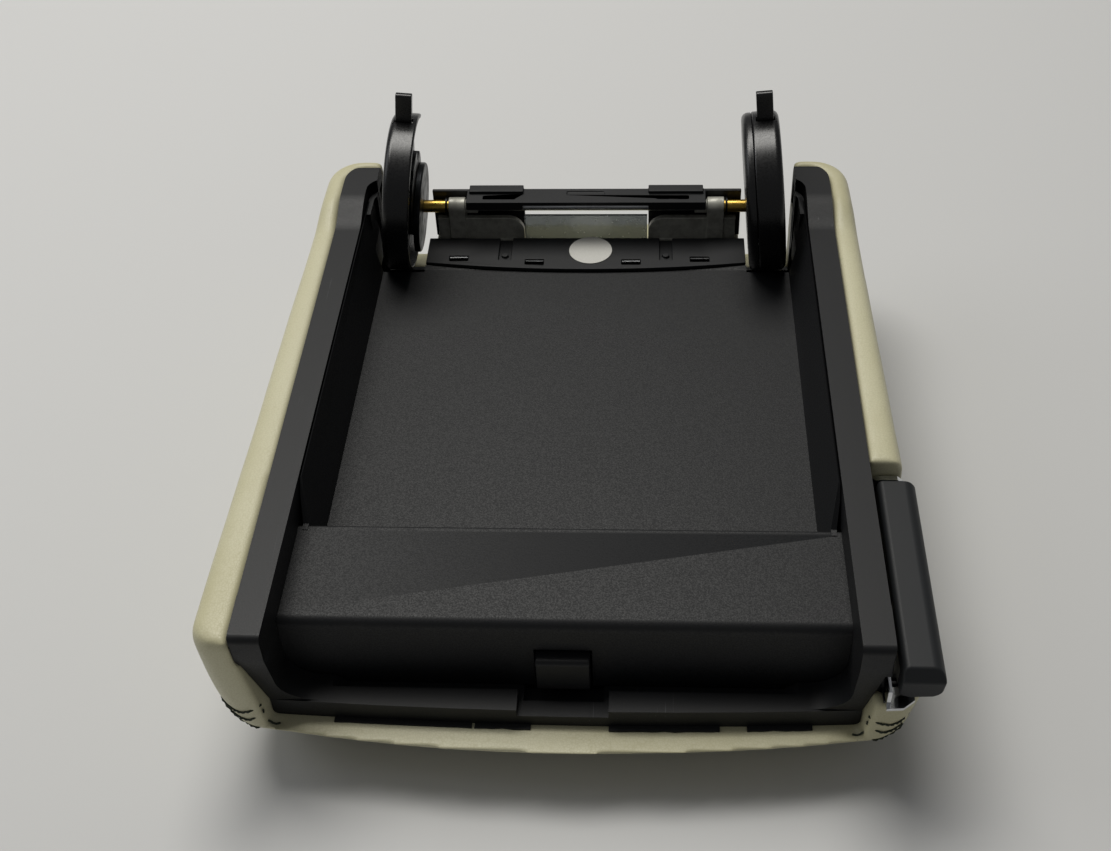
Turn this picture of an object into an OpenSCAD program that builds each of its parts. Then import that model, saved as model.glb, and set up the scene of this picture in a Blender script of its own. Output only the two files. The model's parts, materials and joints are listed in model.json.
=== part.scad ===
// Centre console armrest lid with a padded leather top, lying upside down on
// that top. +Z is up, +Y runs to the hinge end, X = 0 is the centre line and
// the origin is the middle of the flat patch that the padding rests on.

/* [Lid] */
// Height of the rim plane above the rest face
rail_z = 80; // [78:1:96]
// Length from the front crease of the rim to its rear end
lid_len = 282; // [270:1:320]
// Outer width of the rim at the front
rim_w = 232; // [228:1:250]
// How much each side of the rim draws in towards the rear
rim_taper = 2; // [0:0.5:4]

/* [Padding] */
// How far the padding stands out past each side of the rim
pad_over = 15.5; // [14:0.5:22]
// How far the padding's foremost line lies behind the front crease at the sides
pad_set = 1.5; // [0:0.5:3]
// How far the padding bows forward in the middle of the front
pad_bow = 11; // [6:0.5:13]
// How much each side of the padding draws in towards the rear
pad_taper = 6.5; // [3:0.5:7]
// How far the padding stands out past the rear end
pad_rear = 7; // [4:1:12]
// Depth of the widest line of the padding below the rim plane
bulge_drop = 9; // [8:0.5:14]
// How far in from the widest line the flat rest patch starts
rest_inset = 18; // [14:1:24]
// Thickness of the leather
leather_t = 2; // [1.2:0.1:3]
// Corner radius of the padding in plan
pad_corner_r = 9; // [8:0.5:12]

/* [Rim] */
// Width of the top of the rim
rail_t = 11.5; // [10:0.5:13]
// Depth of the rim's side rails
rail_h = 16; // [12:1:20]
// Wall of the moulded rim and its hollow underside
rim_wall = 2.5; // [2:0.25:3.5]
// How far the rim steps up around the hinge
rise_h = 5; // [0:0.5:10]
// How far each front post draws in towards its foot
post_in = 6.5; // [3:0.5:9]
// Depth of the front seal ledge below the rim plane
ledge_drop = 46; // [42:1:50]
// Thickness of the front seal ledge
ledge_t = 9; // [6:0.5:12]
// Depth of the front seal ledge from front to back
ledge_w = 20; // [16:0.5:20]
// How far the middle of the ledge bows forward
ledge_bow = 3; // [2:0.5:5]

/* [Tub] */
// Depth of the tub floor below the rim plane
floor_drop = 30; // [24:1:34]
// Depth of the front block's top below the rim plane
block_drop = 15; // [13:1:18]
// Where the front block starts behind the crease
block_at = 20.5; // [20.5:0.5:26]
// Length of the front block
block_len = 47.5; // [42:0.5:60]
// Wall of the tub panel
tub_t = 2.5; // [2:0.25:3.5]
// Radius of the block's rounded front edge
block_r = 4; // [2.5:0.5:7]

/* [Shell] */
// Wall of the top shell
shell_t = 2.5; // [2:0.25:4]
// Thickness of the top shell's floor
shell_floor_t = 4; // [3.5:0.25:6]
// Thickness of the foam under the top shell
foam_t = 10; // [6:1:14]

/* [Hinge] */
// Distance of the hinge axis from the rear end
axis_in = 9; // [7:0.5:12]
// Depth of the hinge axis below the rim plane
axis_drop = 13; // [11:0.5:16]
// Diameter of the hinge pins
pin_d = 6; // [5:0.5:8]
// Distance of each hinge ear from the centre line
ear_x = 86; // [84:0.5:88]
// Radius of the round hinge ears
ear_r = 37; // [34:0.5:40]
// Thickness of the hinge ears
ear_t = 12.5; // [11:0.5:14]
// How far the ear covers lean in towards the middle
ear_lean = 5; // [0:1:6]
// How far the ears' centres lie in front of the axis
ear_ahead = 5; // [3:0.5:7]
// How far the ears' centres lie above the axis
ear_above = 12; // [10:0.5:13]
// How much smaller the friction disc is than the ear
hub_less = 15.5; // [15.5:0.5:18]
// Length of the tab on each ear
tab_len = 13; // [8:0.5:15]
// Radius of the console bolt holes in the arms
bolt_r = 3.2; // [2.6:0.1:4.2]
// Distance between the two console bolts
bolt_pitch = 28; // [24:1:32]

/* [Latch] */
// Width of the latch hook's nose
hook_w = 20; // [16:1:24]
// Depth of the hook pin below the rim plane
hook_pin_drop = 24; // [23:0.5:26]
// Diameter of the hook pin
hook_pin_d = 5; // [4:0.5:6]
// Width of the striker recess in the ledge
recess_w = 34; // [30:1:42]
// Depth of the striker recess
recess_h = 7; // [5:0.5:7]

/* [Release lever] */
// Length of the release lever
lever_len = 92; // [80:1:110]
// Width of the release lever
lever_w = 15; // [12:0.5:17]
// Height of the release lever
lever_h = 17; // [14:0.5:20]
// Diameter of the lever's axle
axle_d = 4; // [3:0.5:5]
// Length of the crank under the lever
crank_r = 10; // [8:0.5:11]
// Diameter of the push rod
rod_d = 4; // [3:0.5:5]

/* [Details] */
// Diameter of the round label
label_d = 20.5; // [16:0.5:22]
// Diameter of the panel screws
screw_d = 4; // [3:0.5:5]
// Wire of the two torsion springs
wire_d = 0.9; // [0.7:0.1:1.2]

/* [Hidden] */
$fn = 64;

// Fits: a running shaft, a seated rigid piece and a soft piece beside a rigid
run_fit = 0.06;
seat_gap = 0.3;
soft_gap = 0.3;

// Derived places. ys() measures back from the front crease, yr() forward
// from the rear end, and zd() down from the rim plane.
function ys(d) = -lid_len / 2 + d;
function yr(e) = lid_len / 2 - e;
function zd(d) = rail_z - d;

rim_x0 = rim_w / 2;
tub_gap = 0.5;
tub_x0 = rim_x0 - rail_t - tub_gap;
block_x = tub_x0 + 4;
shell_x0 = block_x + 3.5;
foam_z = leather_t + soft_gap;
shell_z = foam_z + foam_t;
shell_floor_z = shell_z + shell_floor_t;
floor_z = zd(floor_drop);
block_z = zd(block_drop);
step_at = block_at + block_len;
ledge_z = zd(ledge_drop);
foot_x = rim_x0 - post_in;
shell_front = 14;
shell_corner = 24;
rear_corner = 10;
shell_bevel = 10;
nose_run = 20;
nose_rise = 18;
shell_rear_in = 9;
rear_wall_in = 12;

// Hinge end
plate_t = 2;
plate_z = floor_z + plate_t;
plate_rear_in = 14.5;
plate_depth = 19;
plate_bow = 5;
slot_in_x = 74.5;
slot_out_x = ear_x + ear_t;
pocket_z = 30;
sill_z = floor_z - 4;
rise_from = 46;
rise_to = 24;
crest_r = 4;
end_gap = 0.3;
plate_x = slot_in_x + 1.6;
bar_x = slot_in_x - end_gap;
axis_y = yr(axis_in);
axis_z = zd(axis_drop);
ear_y = axis_y - ear_ahead;
ear_z = axis_z + ear_above;
hub_r = ear_r - hub_less;
slot_depth_in = axis_in + ear_ahead + sqrt(pow(ear_r, 2) - pow(ear_z - floor_z, 2)) + 1.5;
notch_in = slot_depth_in + 1.5;
bar_z = axis_z + 3.6;
bar_t = 2;
bar_front_in = 14;
boss_r = 4.3;
torsion_r = 2.2;
boss_x0 = 58;
boss_x1 = 66;
bracket_in_x = 30;
bracket_base_z = sill_z;
bracket_wall_in = 12;
bracket_wall_t = 3;
cover_wall = 2;

// Release mechanism
hook_pin_y = ys(block_at + 9.5);
hook_pin_z = zd(hook_pin_drop);
hook_eye_r = hook_pin_d / 2 + 1.6;
nose_out = 15.5;
rod_z = zd(40);
rod_y = ys(block_at + 11.5);
crank_arm = 12;
finger_len = 20;
finger_r = 3;
crank_x = 16;
crank_y = rod_y + crank_arm;
axle_x = rim_x0 + 4.5;
axle_z = rod_z + crank_r;
lever_y0 = ys(-4);
lever_y1 = lever_y0 + lever_len;
lever_x0 = rim_x0 + 2.8;
lever_z1 = zd(8);
lever_z0 = lever_z1 - lever_h;
housing_x0 = rim_x0 - 3;
housing_x1 = axle_x + 5.6;
housing_wall = 1.5;
housing_z0 = rod_z - 5.5;
housing_y1 = lever_y1 + 3;
bezel_z = axle_z - 0.2;
trim_t = 1.6;

// ---------------------------------------------------------------- helpers

// Points of an arc in a plane, both ends included
function arc(cx, cy, r, a0, a1, n = 8) =
  [for (i = [0:n]) let (a = a0 + (a1 - a0) * i / n) [cx + r * cos(a), cy + r * sin(a)]];

// Half width at y of an outline that is w wide at the front crease
function side(w, y) = w - rim_taper * (y - ys(0)) / lid_len;

// Tapered outline in plan with round front and rear corners
function plan(w, y0, y1, r0, r1) = let (w0 = side(w, y0), w1 = side(w, y1)) concat(
  arc(-w0 + r0, y0 + r0, r0, 180, 270), arc(w0 - r0, y0 + r0, r0, 270, 360),
  arc(w1 - r1, y1 - r1, r1, 0, 90), arc(-w1 + r1, y1 - r1, r1, 90, 180));

// Front edge from -w to w that bows forward by b in the middle
function bowed(w, y, b, n = 16) = [for (i = [0:n]) let (x = w * (2 * i / n - 1)) [x,
    y - b * (1 - pow(x / w, 2))]];

// Lays a (y, z) outline along X, or an (x, z) outline along Y
module along_x(x0, x1) translate([x0, 0, 0]) rotate([90, 0, 90]) linear_extrude(x1 - x0) children();
module along_y(y0, y1) translate([0, y1, 0]) rotate([90, 0, 0]) linear_extrude(y1 - y0) children();

// Slab between two heights
module slab(z0, z1) translate([0, 0, z0]) linear_extrude(z1 - z0) children();

// Box between two corners
module block(a, b) translate(a) cube(b - a);

// Rod between two X places
module rod_x(x0, x1, y, z, r) translate([x0, y, z]) rotate([0, 90, 0]) cylinder(h = x1 - x0, r = r);

// Both sides of the centre line
module both() { children(); mirror([1, 0, 0]) children(); }

// Close-wound torsion spring along X as a swept wire
module coil_x(x0, turns, r, wire) {
  sides = 8;
  per_turn = 16;
  rings = turns * per_turn;
  pitch = wire * 1.25;
  function at(i, j) = let (a = 360 * i / per_turn, b = 360 * j / sides, q = r + wire / 2 * cos(b))
    [x0 + wire / 2 + pitch * i / per_turn + wire / 2 * sin(b), q * cos(a), q * sin(a)];
  points = [for (i = [0:rings], j = [0:sides - 1]) at(i, j)];
  skin = [for (i = [0:rings - 1], j = [0:sides - 1]) let (k = (j + 1) % sides)
    [i * sides + j, i * sides + k, (i + 1) * sides + k, (i + 1) * sides + j]];
  start = [[for (j = [sides - 1:-1:0]) j]];
  end = [[for (j = [0:sides - 1]) rings * sides + j]];
  polyhedron(points, concat(skin, start, end), convexity = 4);
}

// ---------------------------------------------------------------- padding

edge_steps = 12;
corner_steps = 8;
ring_size = edge_steps + 4 * corner_steps + 3;

// One level outline of the padding, bowed at the front and raised with the rim at the rear
function rim_rise(y) = let (t = min(1, max(0,
    (y - yr(rise_from)) / (rise_from - rise_to)))) rise_h * (1 - cos(180 * t)) / 2;
function pad_ring(z, w, f, r, c) = [for (p = concat(
    [for (i = [0:edge_steps]) [-(w - c) + 2 * (w - c) * i / edge_steps, f]],
    [for (i = [1:corner_steps]) let (a = -90 + 90 * i / corner_steps) [w - c + c * cos(a), f + c +
        c * sin(a)]],
    arc(w - pad_rear_r, r - pad_rear_r, pad_rear_r, 0, 90, corner_steps),
    arc(-w + pad_rear_r, r - pad_rear_r, pad_rear_r, 90, 180, corner_steps),
    [for (i = [0:corner_steps - 1]) let (a = 180 + 90 * i / corner_steps)
      [-w + c + c * cos(a), f + c + c * sin(a)]]))
  let (t = (p.y - f) / (r - f), b = max(0, 1 - abs(p.x) / w))
  [p.x * (1 - pad_taper / rim_x0 * t), p.y - pad_bow * (1 - pow(1 - b, 2)) * max(0, 1 - 6 * t),
   z + rim_rise(p.y) * max(0, (z - zd(bulge_drop)) / bulge_drop)]];

// Outline sizes of the padding at height z, drawn in by g
front_line_z = ledge_z - 4.5;
under_run = 32.5;
pad_rear_r = 14;
function pad_low(z, top, inset, n) = inset * pow(max(0, 1 - z / top), n);
function pad_level(z, g) = let (
    zb = zd(bulge_drop), u = min(1, max(0, (z - zb) / bulge_drop)), turn = 1 - pow(1 - pow(u, 3), 1 / 3),
    w = rim_x0 + pad_over - pad_low(z, zb, rest_inset, 3.3) - (pad_over - 0.6) * turn - g,
    f = ys(pad_set + pad_low(z, front_line_z, under_run, 1.5) - (pad_set - 1) * pow(max(0,
        z - front_line_z) / (rail_z - front_line_z), 2)) + g,
    r = yr(-pad_rear + pad_low(z, zb, rest_inset, 3.3) + (pad_rear - 1) * turn) - g)
  pad_ring(z, w, f, r, pad_corner_r * (2 - min(1, z / zb)) - g);

// Closed stack of level outlines
module pad_form(g, z0, z1, steps) {
  levels = [for (k = [0:steps]) z0 + (z1 - z0) * (1 - cos(180 * k / steps)) / 2];
  rings = [for (z = levels) each pad_level(z, g)];
  skin = [for (k = [0:steps - 1], j = [0:ring_size - 1]) let (a = k * ring_size, m = (j + 1) % ring_size)
    [a + j, a + ring_size + j, a + ring_size + m, a + m]];
  bottom = [[for (j = [0:ring_size - 1]) j]];
  top = [[for (j = [ring_size - 1:-1:0]) steps * ring_size + j]];
  polyhedron(rings, concat(skin, bottom, top), convexity = 6);
}

// Room that the rim, the front posts and the hinge gap take out of the padding
module rim_room(g) {
  slab(zd(rail_h) - g, rail_z + 40) polygon(plan(rim_x0 + g, ys(0) - g, yr(0) + g, 1, 12));
  along_y(ys(-40), ys(block_at + 8) + g) polygon([[-foot_x - g, ledge_z - ledge_t - g], [foot_x + g,
      ledge_z - ledge_t - g],
    [foot_x + g, ledge_z], [rim_x0 + g, rail_z], [rim_x0 + g, rail_z + 30], [-rim_x0 - g, rail_z + 30],
    [-rim_x0 - g, rail_z], [-foot_x - g, ledge_z]]);
}

// Notch at the rear: low where the ears swing, higher between them
module rear_notch(g) {
  both() block([slot_in_x - g, yr(notch_in), pocket_z - g], [slot_out_x + g, yr(-60), rail_z + 30]);
  block([-slot_in_x, yr(notch_in), sill_z - g], [slot_in_x, yr(-60), rail_z + 30]);
}

// Room for the release lever in the right-hand side
module lever_room(g) {
  block([housing_x0 - g, lever_y0 + 10 - g, housing_z0 - g], [housing_x1 + g, housing_y1 + g, rail_z + 30]);
  block([housing_x0 - g, lever_y0 - 10, bezel_z - g], [rim_x0 + 60, housing_y1 + g, rail_z + 30]);
}

// Everything that the padding makes way for
module taken(g) {
  rim_room(g);
  rear_notch(g);
  lever_room(g);
}

// Way of the push rod through the padding
module rod_way() rod_x(shell_x0 - 5, housing_x0 + 2, rod_y, rod_z, rod_d / 2 + 1.5);

// The leather is turned over and tucked in wherever it meets a hard piece
module leather_cover() {
  color("#d9d0a8") difference() {
    pad_form(0, 0, rail_z - 1, 16);
    difference() {
      pad_form(leather_t, leather_t, rail_z - 1 - leather_t, 16);
      taken(soft_gap + leather_t);
    }
    taken(soft_gap);
    shell_form(soft_gap, 0, rail_z + 30);
    rod_way();
  }
}

module foam_pad() {
  color("#c9b36b") difference() {
    pad_form(leather_t + soft_gap, foam_z, rail_z - 2 - leather_t, 16);
    taken(2 * soft_gap + leather_t);
    shell_form(soft_gap, 0, rail_z + 30);
    rod_way();
  }
}

// ------------------------------------------------------------------ shell

screw_spots = [[-80, ys(block_at + 30)], [80, ys(block_at + 30)], [-70, ys(step_at + 30)], [70,
    ys(step_at + 30)],
  [-60, yr(60)], [60, yr(60)]];
head_r = screw_d * 0.95;
head_h = 2;
bracket_screw_x = [49, 67];
bracket_screw_y = yr(20.4);

// Outer form of the shell, grown by g: round corners in plan and bevelled lower edges
module shell_form(g, up, top) {
  b = shell_bevel;
  intersection() {
    slab(shell_z + up, top) polygon(plan(shell_x0 + g, ys(shell_front) - g, yr(shell_rear_in) + g,
      shell_corner, rear_corner));
    along_y(ys(-20), yr(-20)) polygon([[-shell_x0 - g + b, shell_z + up], [shell_x0 + g - b, shell_z + up],
      [shell_x0 + g, shell_z + up + b], [shell_x0 + g, top], [-shell_x0 - g, top], [-shell_x0 - g,
          shell_z + up + b]]);
    along_x(-shell_x0 - 10, shell_x0 + 10) polygon([[ys(shell_front) - g + nose_run, shell_z + up],
      [yr(shell_rear_in) + g - b, shell_z + up], [yr(shell_rear_in) + g, shell_z + up + b],
          [yr(shell_rear_in) + g, top],
      [ys(shell_front) - g, top], [ys(shell_front) - g, shell_z + up + nose_rise]]);
  }
}

module top_shell() {
  color("#2a2a2c") {
    difference() {
      shell_form(0, 0, zd(rail_h));
      shell_form(-shell_t, shell_floor_t, rail_z);
      block([-foot_x - 5, ys(-20), ledge_z - ledge_t], [foot_x + 5, ys(block_at + shell_corner), rail_z]);
      rear_notch(0);
      for (p = screw_spots) translate([p.x, p.y, 0]) {
        translate([0, 0, shell_z - 1]) cylinder(h = shell_floor_t + 2, r = screw_d / 2 + 0.3);
        translate([0, 0, shell_z - 1]) cylinder(h = head_h + 1.2, r = head_r + 0.4);
      }
      rod_x(shell_x0 - 12, shell_x0 + 2, rod_y, rod_z, rod_d / 2 + 1.2);
      translate([crank_x, crank_y, shell_z - 1]) cylinder(h = shell_floor_t + 2, r = hook_pin_d / 2 - 0.5);
    }
    // Posts that carry the hinge brackets
    both() for (x = bracket_screw_x) translate([x, bracket_screw_y, shell_floor_z - 0.5]) difference() {
      cylinder(h = bracket_base_z - shell_floor_z + 0.5, r = 5);
      translate([0, 0, 10]) cylinder(h = bracket_base_z, r = screw_d / 2 - 0.3);
    }
    // Guides of the push rod
    for (x = [40, 92]) difference() {
      along_x(x - 2, x + 2) polygon([[rod_y - 5, shell_floor_z + 3.7], [rod_y + 5, shell_floor_z - 0.5],
        [rod_y + 5, rod_z + 5], [rod_y - 5, rod_z + 5]]);
      rod_x(x - 3, x + 3, rod_y, rod_z, rod_d / 2 + run_fit);
    }
    // Stand of the bell crank
    translate([crank_x, crank_y, shell_floor_z - 0.5]) difference() {
      cylinder(h = rod_z - 2.3 - shell_floor_z + 0.5, r = 5);
      translate([0, 0, -1]) cylinder(h = 60, r = hook_pin_d / 2 - 0.5);
    }
  }
}

// -------------------------------------------------------------------- rim

// Outline of the rim from the side: flat, then a soft step up at the hinge
function rim_side() = concat([[ys(ledge_set), ledge_z - 20], [ys(ledge_set), ledge_z], [ys(0),
    rail_z - 12]], arc(ys(3), rail_z - 3, 3, 180, 90),
  [for (i = [0:10]) let (t = i / 10) [yr(rise_from + (rise_to - rise_from) * t), rail_z +
      rise_h * (1 - cos(180 * t)) / 2]],
  arc(yr(crest_r), rail_z + rise_h - crest_r, crest_r, 90, 0), [[yr(0), ledge_z - 20]]);

// Section across the front of the rim: two posts and the seal ledge
ledge_fillet = 14;
ledge_set = 8;
groove_at = 14.5;
groove_x = 82;
groove_h = 4.5;
function post_section(x) = concat([[foot_x, ledge_z - ledge_t], [foot_x, ledge_z], [rim_x0, rail_z],
    [rim_x0 - rail_t, rail_z]],
  arc(rim_x0 - rail_t - ledge_fillet, ledge_z + ledge_fillet, ledge_fillet, 0, -90),
  [[x, ledge_z], [x, ledge_z - ledge_t]]);

module rim_frame() {
  color("#1b1b1d") difference() {
    union() {
      intersection() {
        difference() {
          slab(zd(rail_h), rail_z + rise_h) polygon(plan(rim_x0, ys(0), yr(0), 1, 12));
          slab(zd(rail_h) - 1, rail_z + rise_h + 1)
            polygon(plan(rim_x0 - rail_t, ys(-20), yr(rear_wall_in), 1, 8));
          // Hollow underside of the rails
          slab(zd(rail_h) - 1, rail_z - rim_wall) difference() {
            polygon(plan(rim_x0 - rim_wall, ys(ledge_w), yr(rim_wall), 1, 10));
            polygon(plan(rim_x0 - rail_t + rim_wall, ys(0), yr(rear_wall_in - rim_wall), 1, 8));
          }
        }
        along_x(-rim_x0 - 1, rim_x0 + 1) polygon(rim_side());
      }
      intersection() {
        union() {
          both() along_y(ys(0), ys(ledge_w)) polygon(post_section(rim_x0 - rail_t - ledge_fillet));
          both() along_y(ys(ledge_set), ys(ledge_w)) polygon(post_section(0));
        }
        along_x(-rim_x0 - 1, rim_x0 + 1) polygon(rim_side());
      }
      // Front lip of the ledge, bowed forward in the middle
      slab(ledge_z - ledge_t, ledge_z) polygon(concat(bowed(foot_x, ys(ledge_set), ledge_bow), [[foot_x,
          ys(12)], [-foot_x, ys(12)]]));
    }
    // Gap for the ears and the hinge between the two rear corners
    block([-slot_out_x, yr(30), zd(rail_h) - 1], [slot_out_x, yr(-1), rail_z + rise_h + 1]);
    // Striker recess, deeper under the hook
    block([-recess_w / 2, ys(-9), ledge_z - recess_h / 2], [recess_w / 2, ys(ledge_w + 1), ledge_z + 1]);
    block([-recess_w / 2 + 2, ys(12), ledge_z - recess_h], [recess_w / 2 - 2, ys(ledge_w + 1), ledge_z +
        1]);
    // Groove behind the ledge
    along_y(ys(groove_at), ys(ledge_w + 1)) polygon([[-groove_x - 6, ledge_z + 1], [-groove_x,
        ledge_z - groove_h],
      [groove_x, ledge_z - groove_h], [groove_x + 6, ledge_z + 1]]);
    // The front block's ends reach under the rails
    both() block([rim_x0 - rail_t - 4, ys(ledge_w), zd(rail_h) - 1], [block_x + 0.5, ys(step_at) + 0.5,
        block_z + 0.5]);
  }
}

// -------------------------------------------------------------------- tub

// Section of the tub along the lid: front wall, block, step and floor
lip_run = 9;
floor_end_in = plate_rear_in + plate_depth - plate_bow - 0.5;
wall_foot_z = ledge_z - 5;
function tub_section() = let (y0 = ys(block_at), y1 = ys(step_at), t = tub_t, ye = yr(floor_end_in)) concat(
  [[y0, wall_foot_z]], arc(y0 + block_r, block_z - block_r, block_r, 180, 90),
  arc(y1 - 1.5, block_z - 1.5, 1.5, 90, 0), arc(y1 + 2, floor_z + 2, 2, 180, 270),
  [[ye - lip_run, floor_z], [ye, plate_z], [ye, floor_z - t], [y1 - t, floor_z - t],
   [y1 - t, block_z - t]],
  [[y0 + block_r, block_z - t], [y0 + t, block_z - block_r], [y0 + t, wall_foot_z]]);

boss_tub_r = screw_d / 2 + 2;
wall_lean = 6;

module tub_panel() {
  color("#232325") difference() {
    union() {
      intersection() {
        along_x(-block_x, block_x) polygon(tub_section());
        union() {
          slab(0, rail_z) polygon(plan(tub_x0, ys(block_at - 1), yr(0), 1, 1));
          slab(0, block_z + 1) polygon(plan(block_x, ys(block_at - 1), ys(step_at), 1, 1));
        }
      }
      // Side walls of the tub, thin at the top and thick at the foot
      both() translate([tub_x0, ys(0), 0]) rotate([0, 0, atan(rim_taper / lid_len)])
        along_y(step_at - 3, lid_len - rear_wall_in - 10) polygon([[tub_t - wall_lean, floor_z - tub_t],
            [0, rail_z - 6], [0, rail_z - 1],
          [-0.6, rail_z - 0.4], [-wall_lean, floor_z + 1.5], [-wall_lean - 0.5, floor_z - tub_t]]);
      slab(floor_z - tub_t, rail_z - 1) difference() {
        polygon(plan(tub_x0, yr(rear_wall_in + 20), yr(rear_wall_in + 0.5), 1, 8));
        polygon(plan(tub_x0 - tub_t, yr(rear_wall_in + 21), yr(rear_wall_in + 3), 1, 6));
      }
      both() block([block_x - tub_t, ys(block_at + 1), floor_z - tub_t], [block_x - rim_taper / 2,
          ys(step_at), block_z - 1.5]);
      // Screw bosses standing on the shell floor
      for (p = screw_spots) translate([p.x, p.y, shell_floor_z])
        cylinder(h = (p.y < ys(step_at) ? block_z : floor_z) - tub_t - shell_floor_z + 0.5, r = boss_tub_r);
    }
    for (p = screw_spots) translate([p.x, p.y, shell_floor_z - 1]) cylinder(h = 14, r = screw_d / 2 - 0.35);
    // The side walls rise behind the step
    along_x(-tub_x0 - 1, tub_x0 + 1) polygon([[ys(step_at - 5), block_z + 0.3], [ys(step_at), block_z +
        0.3],
      [ys(step_at + 13), rail_z + 1], [ys(step_at - 5), rail_z + 1]]);
    // Slots for the ears
    both() block([plate_x + 0.3, yr(slot_depth_in), floor_z - 10], [slot_out_x, yr(-1), rail_z + 10]);
    block([-slot_out_x, yr(28), floor_z - 10], [slot_out_x, yr(-1), rail_z + 10]);
    // Rear edge of the floor follows the cover plate
    slab(floor_z - 8, plate_z + 1) hinge_cover_outline(0.4);
    // Window for the latch hook
    block([-hook_w / 2 - 0.8, ys(block_at - 1), wall_foot_z - 1], [hook_w / 2 + 0.8, ys(block_at +
        tub_t + 1.6), hook_pin_z - 5.5]);
  }
}

// -------------------------------------------------------------- hinge end

module hinge_cover_outline(g) {
  polygon(concat(bowed(plate_x + g, yr(plate_rear_in + plate_depth) - g, plate_bow),
    [[plate_x + g, yr(plate_rear_in)], [-plate_x - g, yr(plate_rear_in)]]));
}

// Clip windows near the bowed front edge, and the two guide slots behind
clip_w = 9;
clip_d = 4;
clip_xs = [-60.5, -24, 22, 54.5];
guide_x = 38.5;
guide_w = 6;
guide_len = 17;
function bow_in(x) = plate_rear_in + plate_depth + plate_bow * (1 - pow(x / plate_x, 2));

module hinge_cover() {
  color("#202022") difference() {
    union() {
      slab(floor_z, plate_z) hinge_cover_outline(0);
      // Stiffening rib under the rear edge
      block([-bracket_in_x + 2, yr(plate_rear_in + 2), floor_z - 3], [bracket_in_x - 2,
          yr(plate_rear_in), floor_z + 0.5]);
    }
    for (x = clip_xs) block([x - clip_w / 2, yr(bow_in(x) - 3), floor_z - 1], [x + clip_w / 2,
        yr(bow_in(x) - 3 - clip_d), plate_z + 1]);
    // Blind guide slots, each round a small post
    both() difference() {
      block([guide_x - guide_w / 2, yr(plate_rear_in + guide_len), floor_z + 0.7],
        [guide_x + guide_w / 2, yr(plate_rear_in - 1), plate_z + 1]);
      translate([guide_x, yr(plate_rear_in + guide_len - 4), floor_z]) cylinder(h = plate_t + 0.4, r = 1.6);
    }
  }
}

module round_label() {
  color("#e9e7e0") translate([2.5, yr(24.5), plate_z]) cylinder(h = 0.4, r = label_d / 2);
}

module rear_bar() {
  tab_x0 = 30;
  tab_x1 = 56;
  top = bar_z + bar_t;
  wide = boss_x0 - 0.8;
  rear = 2.6;
  color("#202022") difference() {
    union() {
      // Deck over the torsion bar, and a narrow strip behind the bosses
      block([-wide, yr(bar_front_in), bar_z], [wide, yr(rear), top]);
      block([-bar_x, yr(rear + 1.8), bar_z - 3], [bar_x, yr(rear), top]);
      both() block([bracket_in_x, yr(rear + 1.8), sill_z + 0.2], [bar_x, yr(rear), top]);
      // Short flanges at the deck's front edge
      both() block([bracket_in_x, yr(bar_front_in), bar_z - 2.5], [wide, yr(bar_front_in - 1.5), top]);
      both() block([tab_x0, yr(rear + 4.5), top - 0.4], [tab_x1, yr(rear - 0.8), top + 1.6]);
    }
    both() block([44, yr(rear + 8.5), bar_z - 1], [49, yr(rear + 6), top + 1]);
    both() block([34, yr(rear + 8.5), top - 0.6], [40, yr(rear + 6), top + 1]);
    block([-9, yr(rear + 5), top - 0.6], [9, yr(rear + 2), top + 1]);
  }
}

module clear_strip() {
  color([0.8, 0.85, 0.85, 0.4]) {
    block([-bracket_in_x + 0.5, yr(plate_rear_in - 0.3), floor_z - 3.3], [bracket_in_x - 0.5,
        yr(plate_rear_in - 1.7), axis_z - 2]);
  }
}

module torsion_bar() {
  color("#b9bcc0") rod_x(-boss_x0 + 3, boss_x0 - 3, axis_y, axis_z, torsion_r);
}

// Die-cast bracket: base, upright wall with a round shoulder, pin boss, guide post
clip_r = pin_d / 2 + 1.3;
screw_head_h = 1.8;
module bracket_right() {
  wall_top = axis_z - 5;
  x1 = bar_x - 2.5;
  color("#8b8a84") difference() {
    union() {
      block([bracket_in_x, yr(25), bracket_base_z + 0.1], [x1, yr(8), floor_z - 0.1]);
      difference() {
        along_y(yr(bracket_wall_in), yr(bracket_wall_in - bracket_wall_t)) polygon(concat(
          [[bracket_in_x, bracket_base_z + 0.1]], arc(bracket_in_x + 8, wall_top - 8, 8, 180, 90),
          [[x1, wall_top], [x1, bracket_base_z + 0.1]]));
        rod_x(bracket_in_x - 1, boss_x1, axis_y, axis_z, 3);
        rod_x(boss_x1, x1 + 1, axis_y, axis_z, clip_r + 0.4);
      }
      rod_x(boss_x0, boss_x1, axis_y, axis_z, boss_r);
      block([boss_x0, axis_y - boss_r, bracket_base_z + 0.1], [boss_x1, axis_y + boss_r, axis_z]);
      rod_x(boss_x0 - 6, boss_x0 + 1, axis_y, axis_z, torsion_r + 1.1);
    }
    rod_x(boss_x0 - 2, boss_x1 + 1, axis_y, axis_z, pin_d / 2 + run_fit);
    rod_x(boss_x0 - 7, boss_x0 - 1, axis_y, axis_z, torsion_r + run_fit);
    for (x = bracket_screw_x) translate([x, bracket_screw_y, 0]) {
      translate([0, 0, bracket_base_z - 1]) cylinder(h = 6, r = screw_d / 2 + 0.2);
      translate([0, 0, floor_z - screw_head_h - 0.4]) cylinder(h = 6, r = head_r + 0.2);
    }
  }
}
module bracket_left() mirror([1, 0, 0]) bracket_right();

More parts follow.
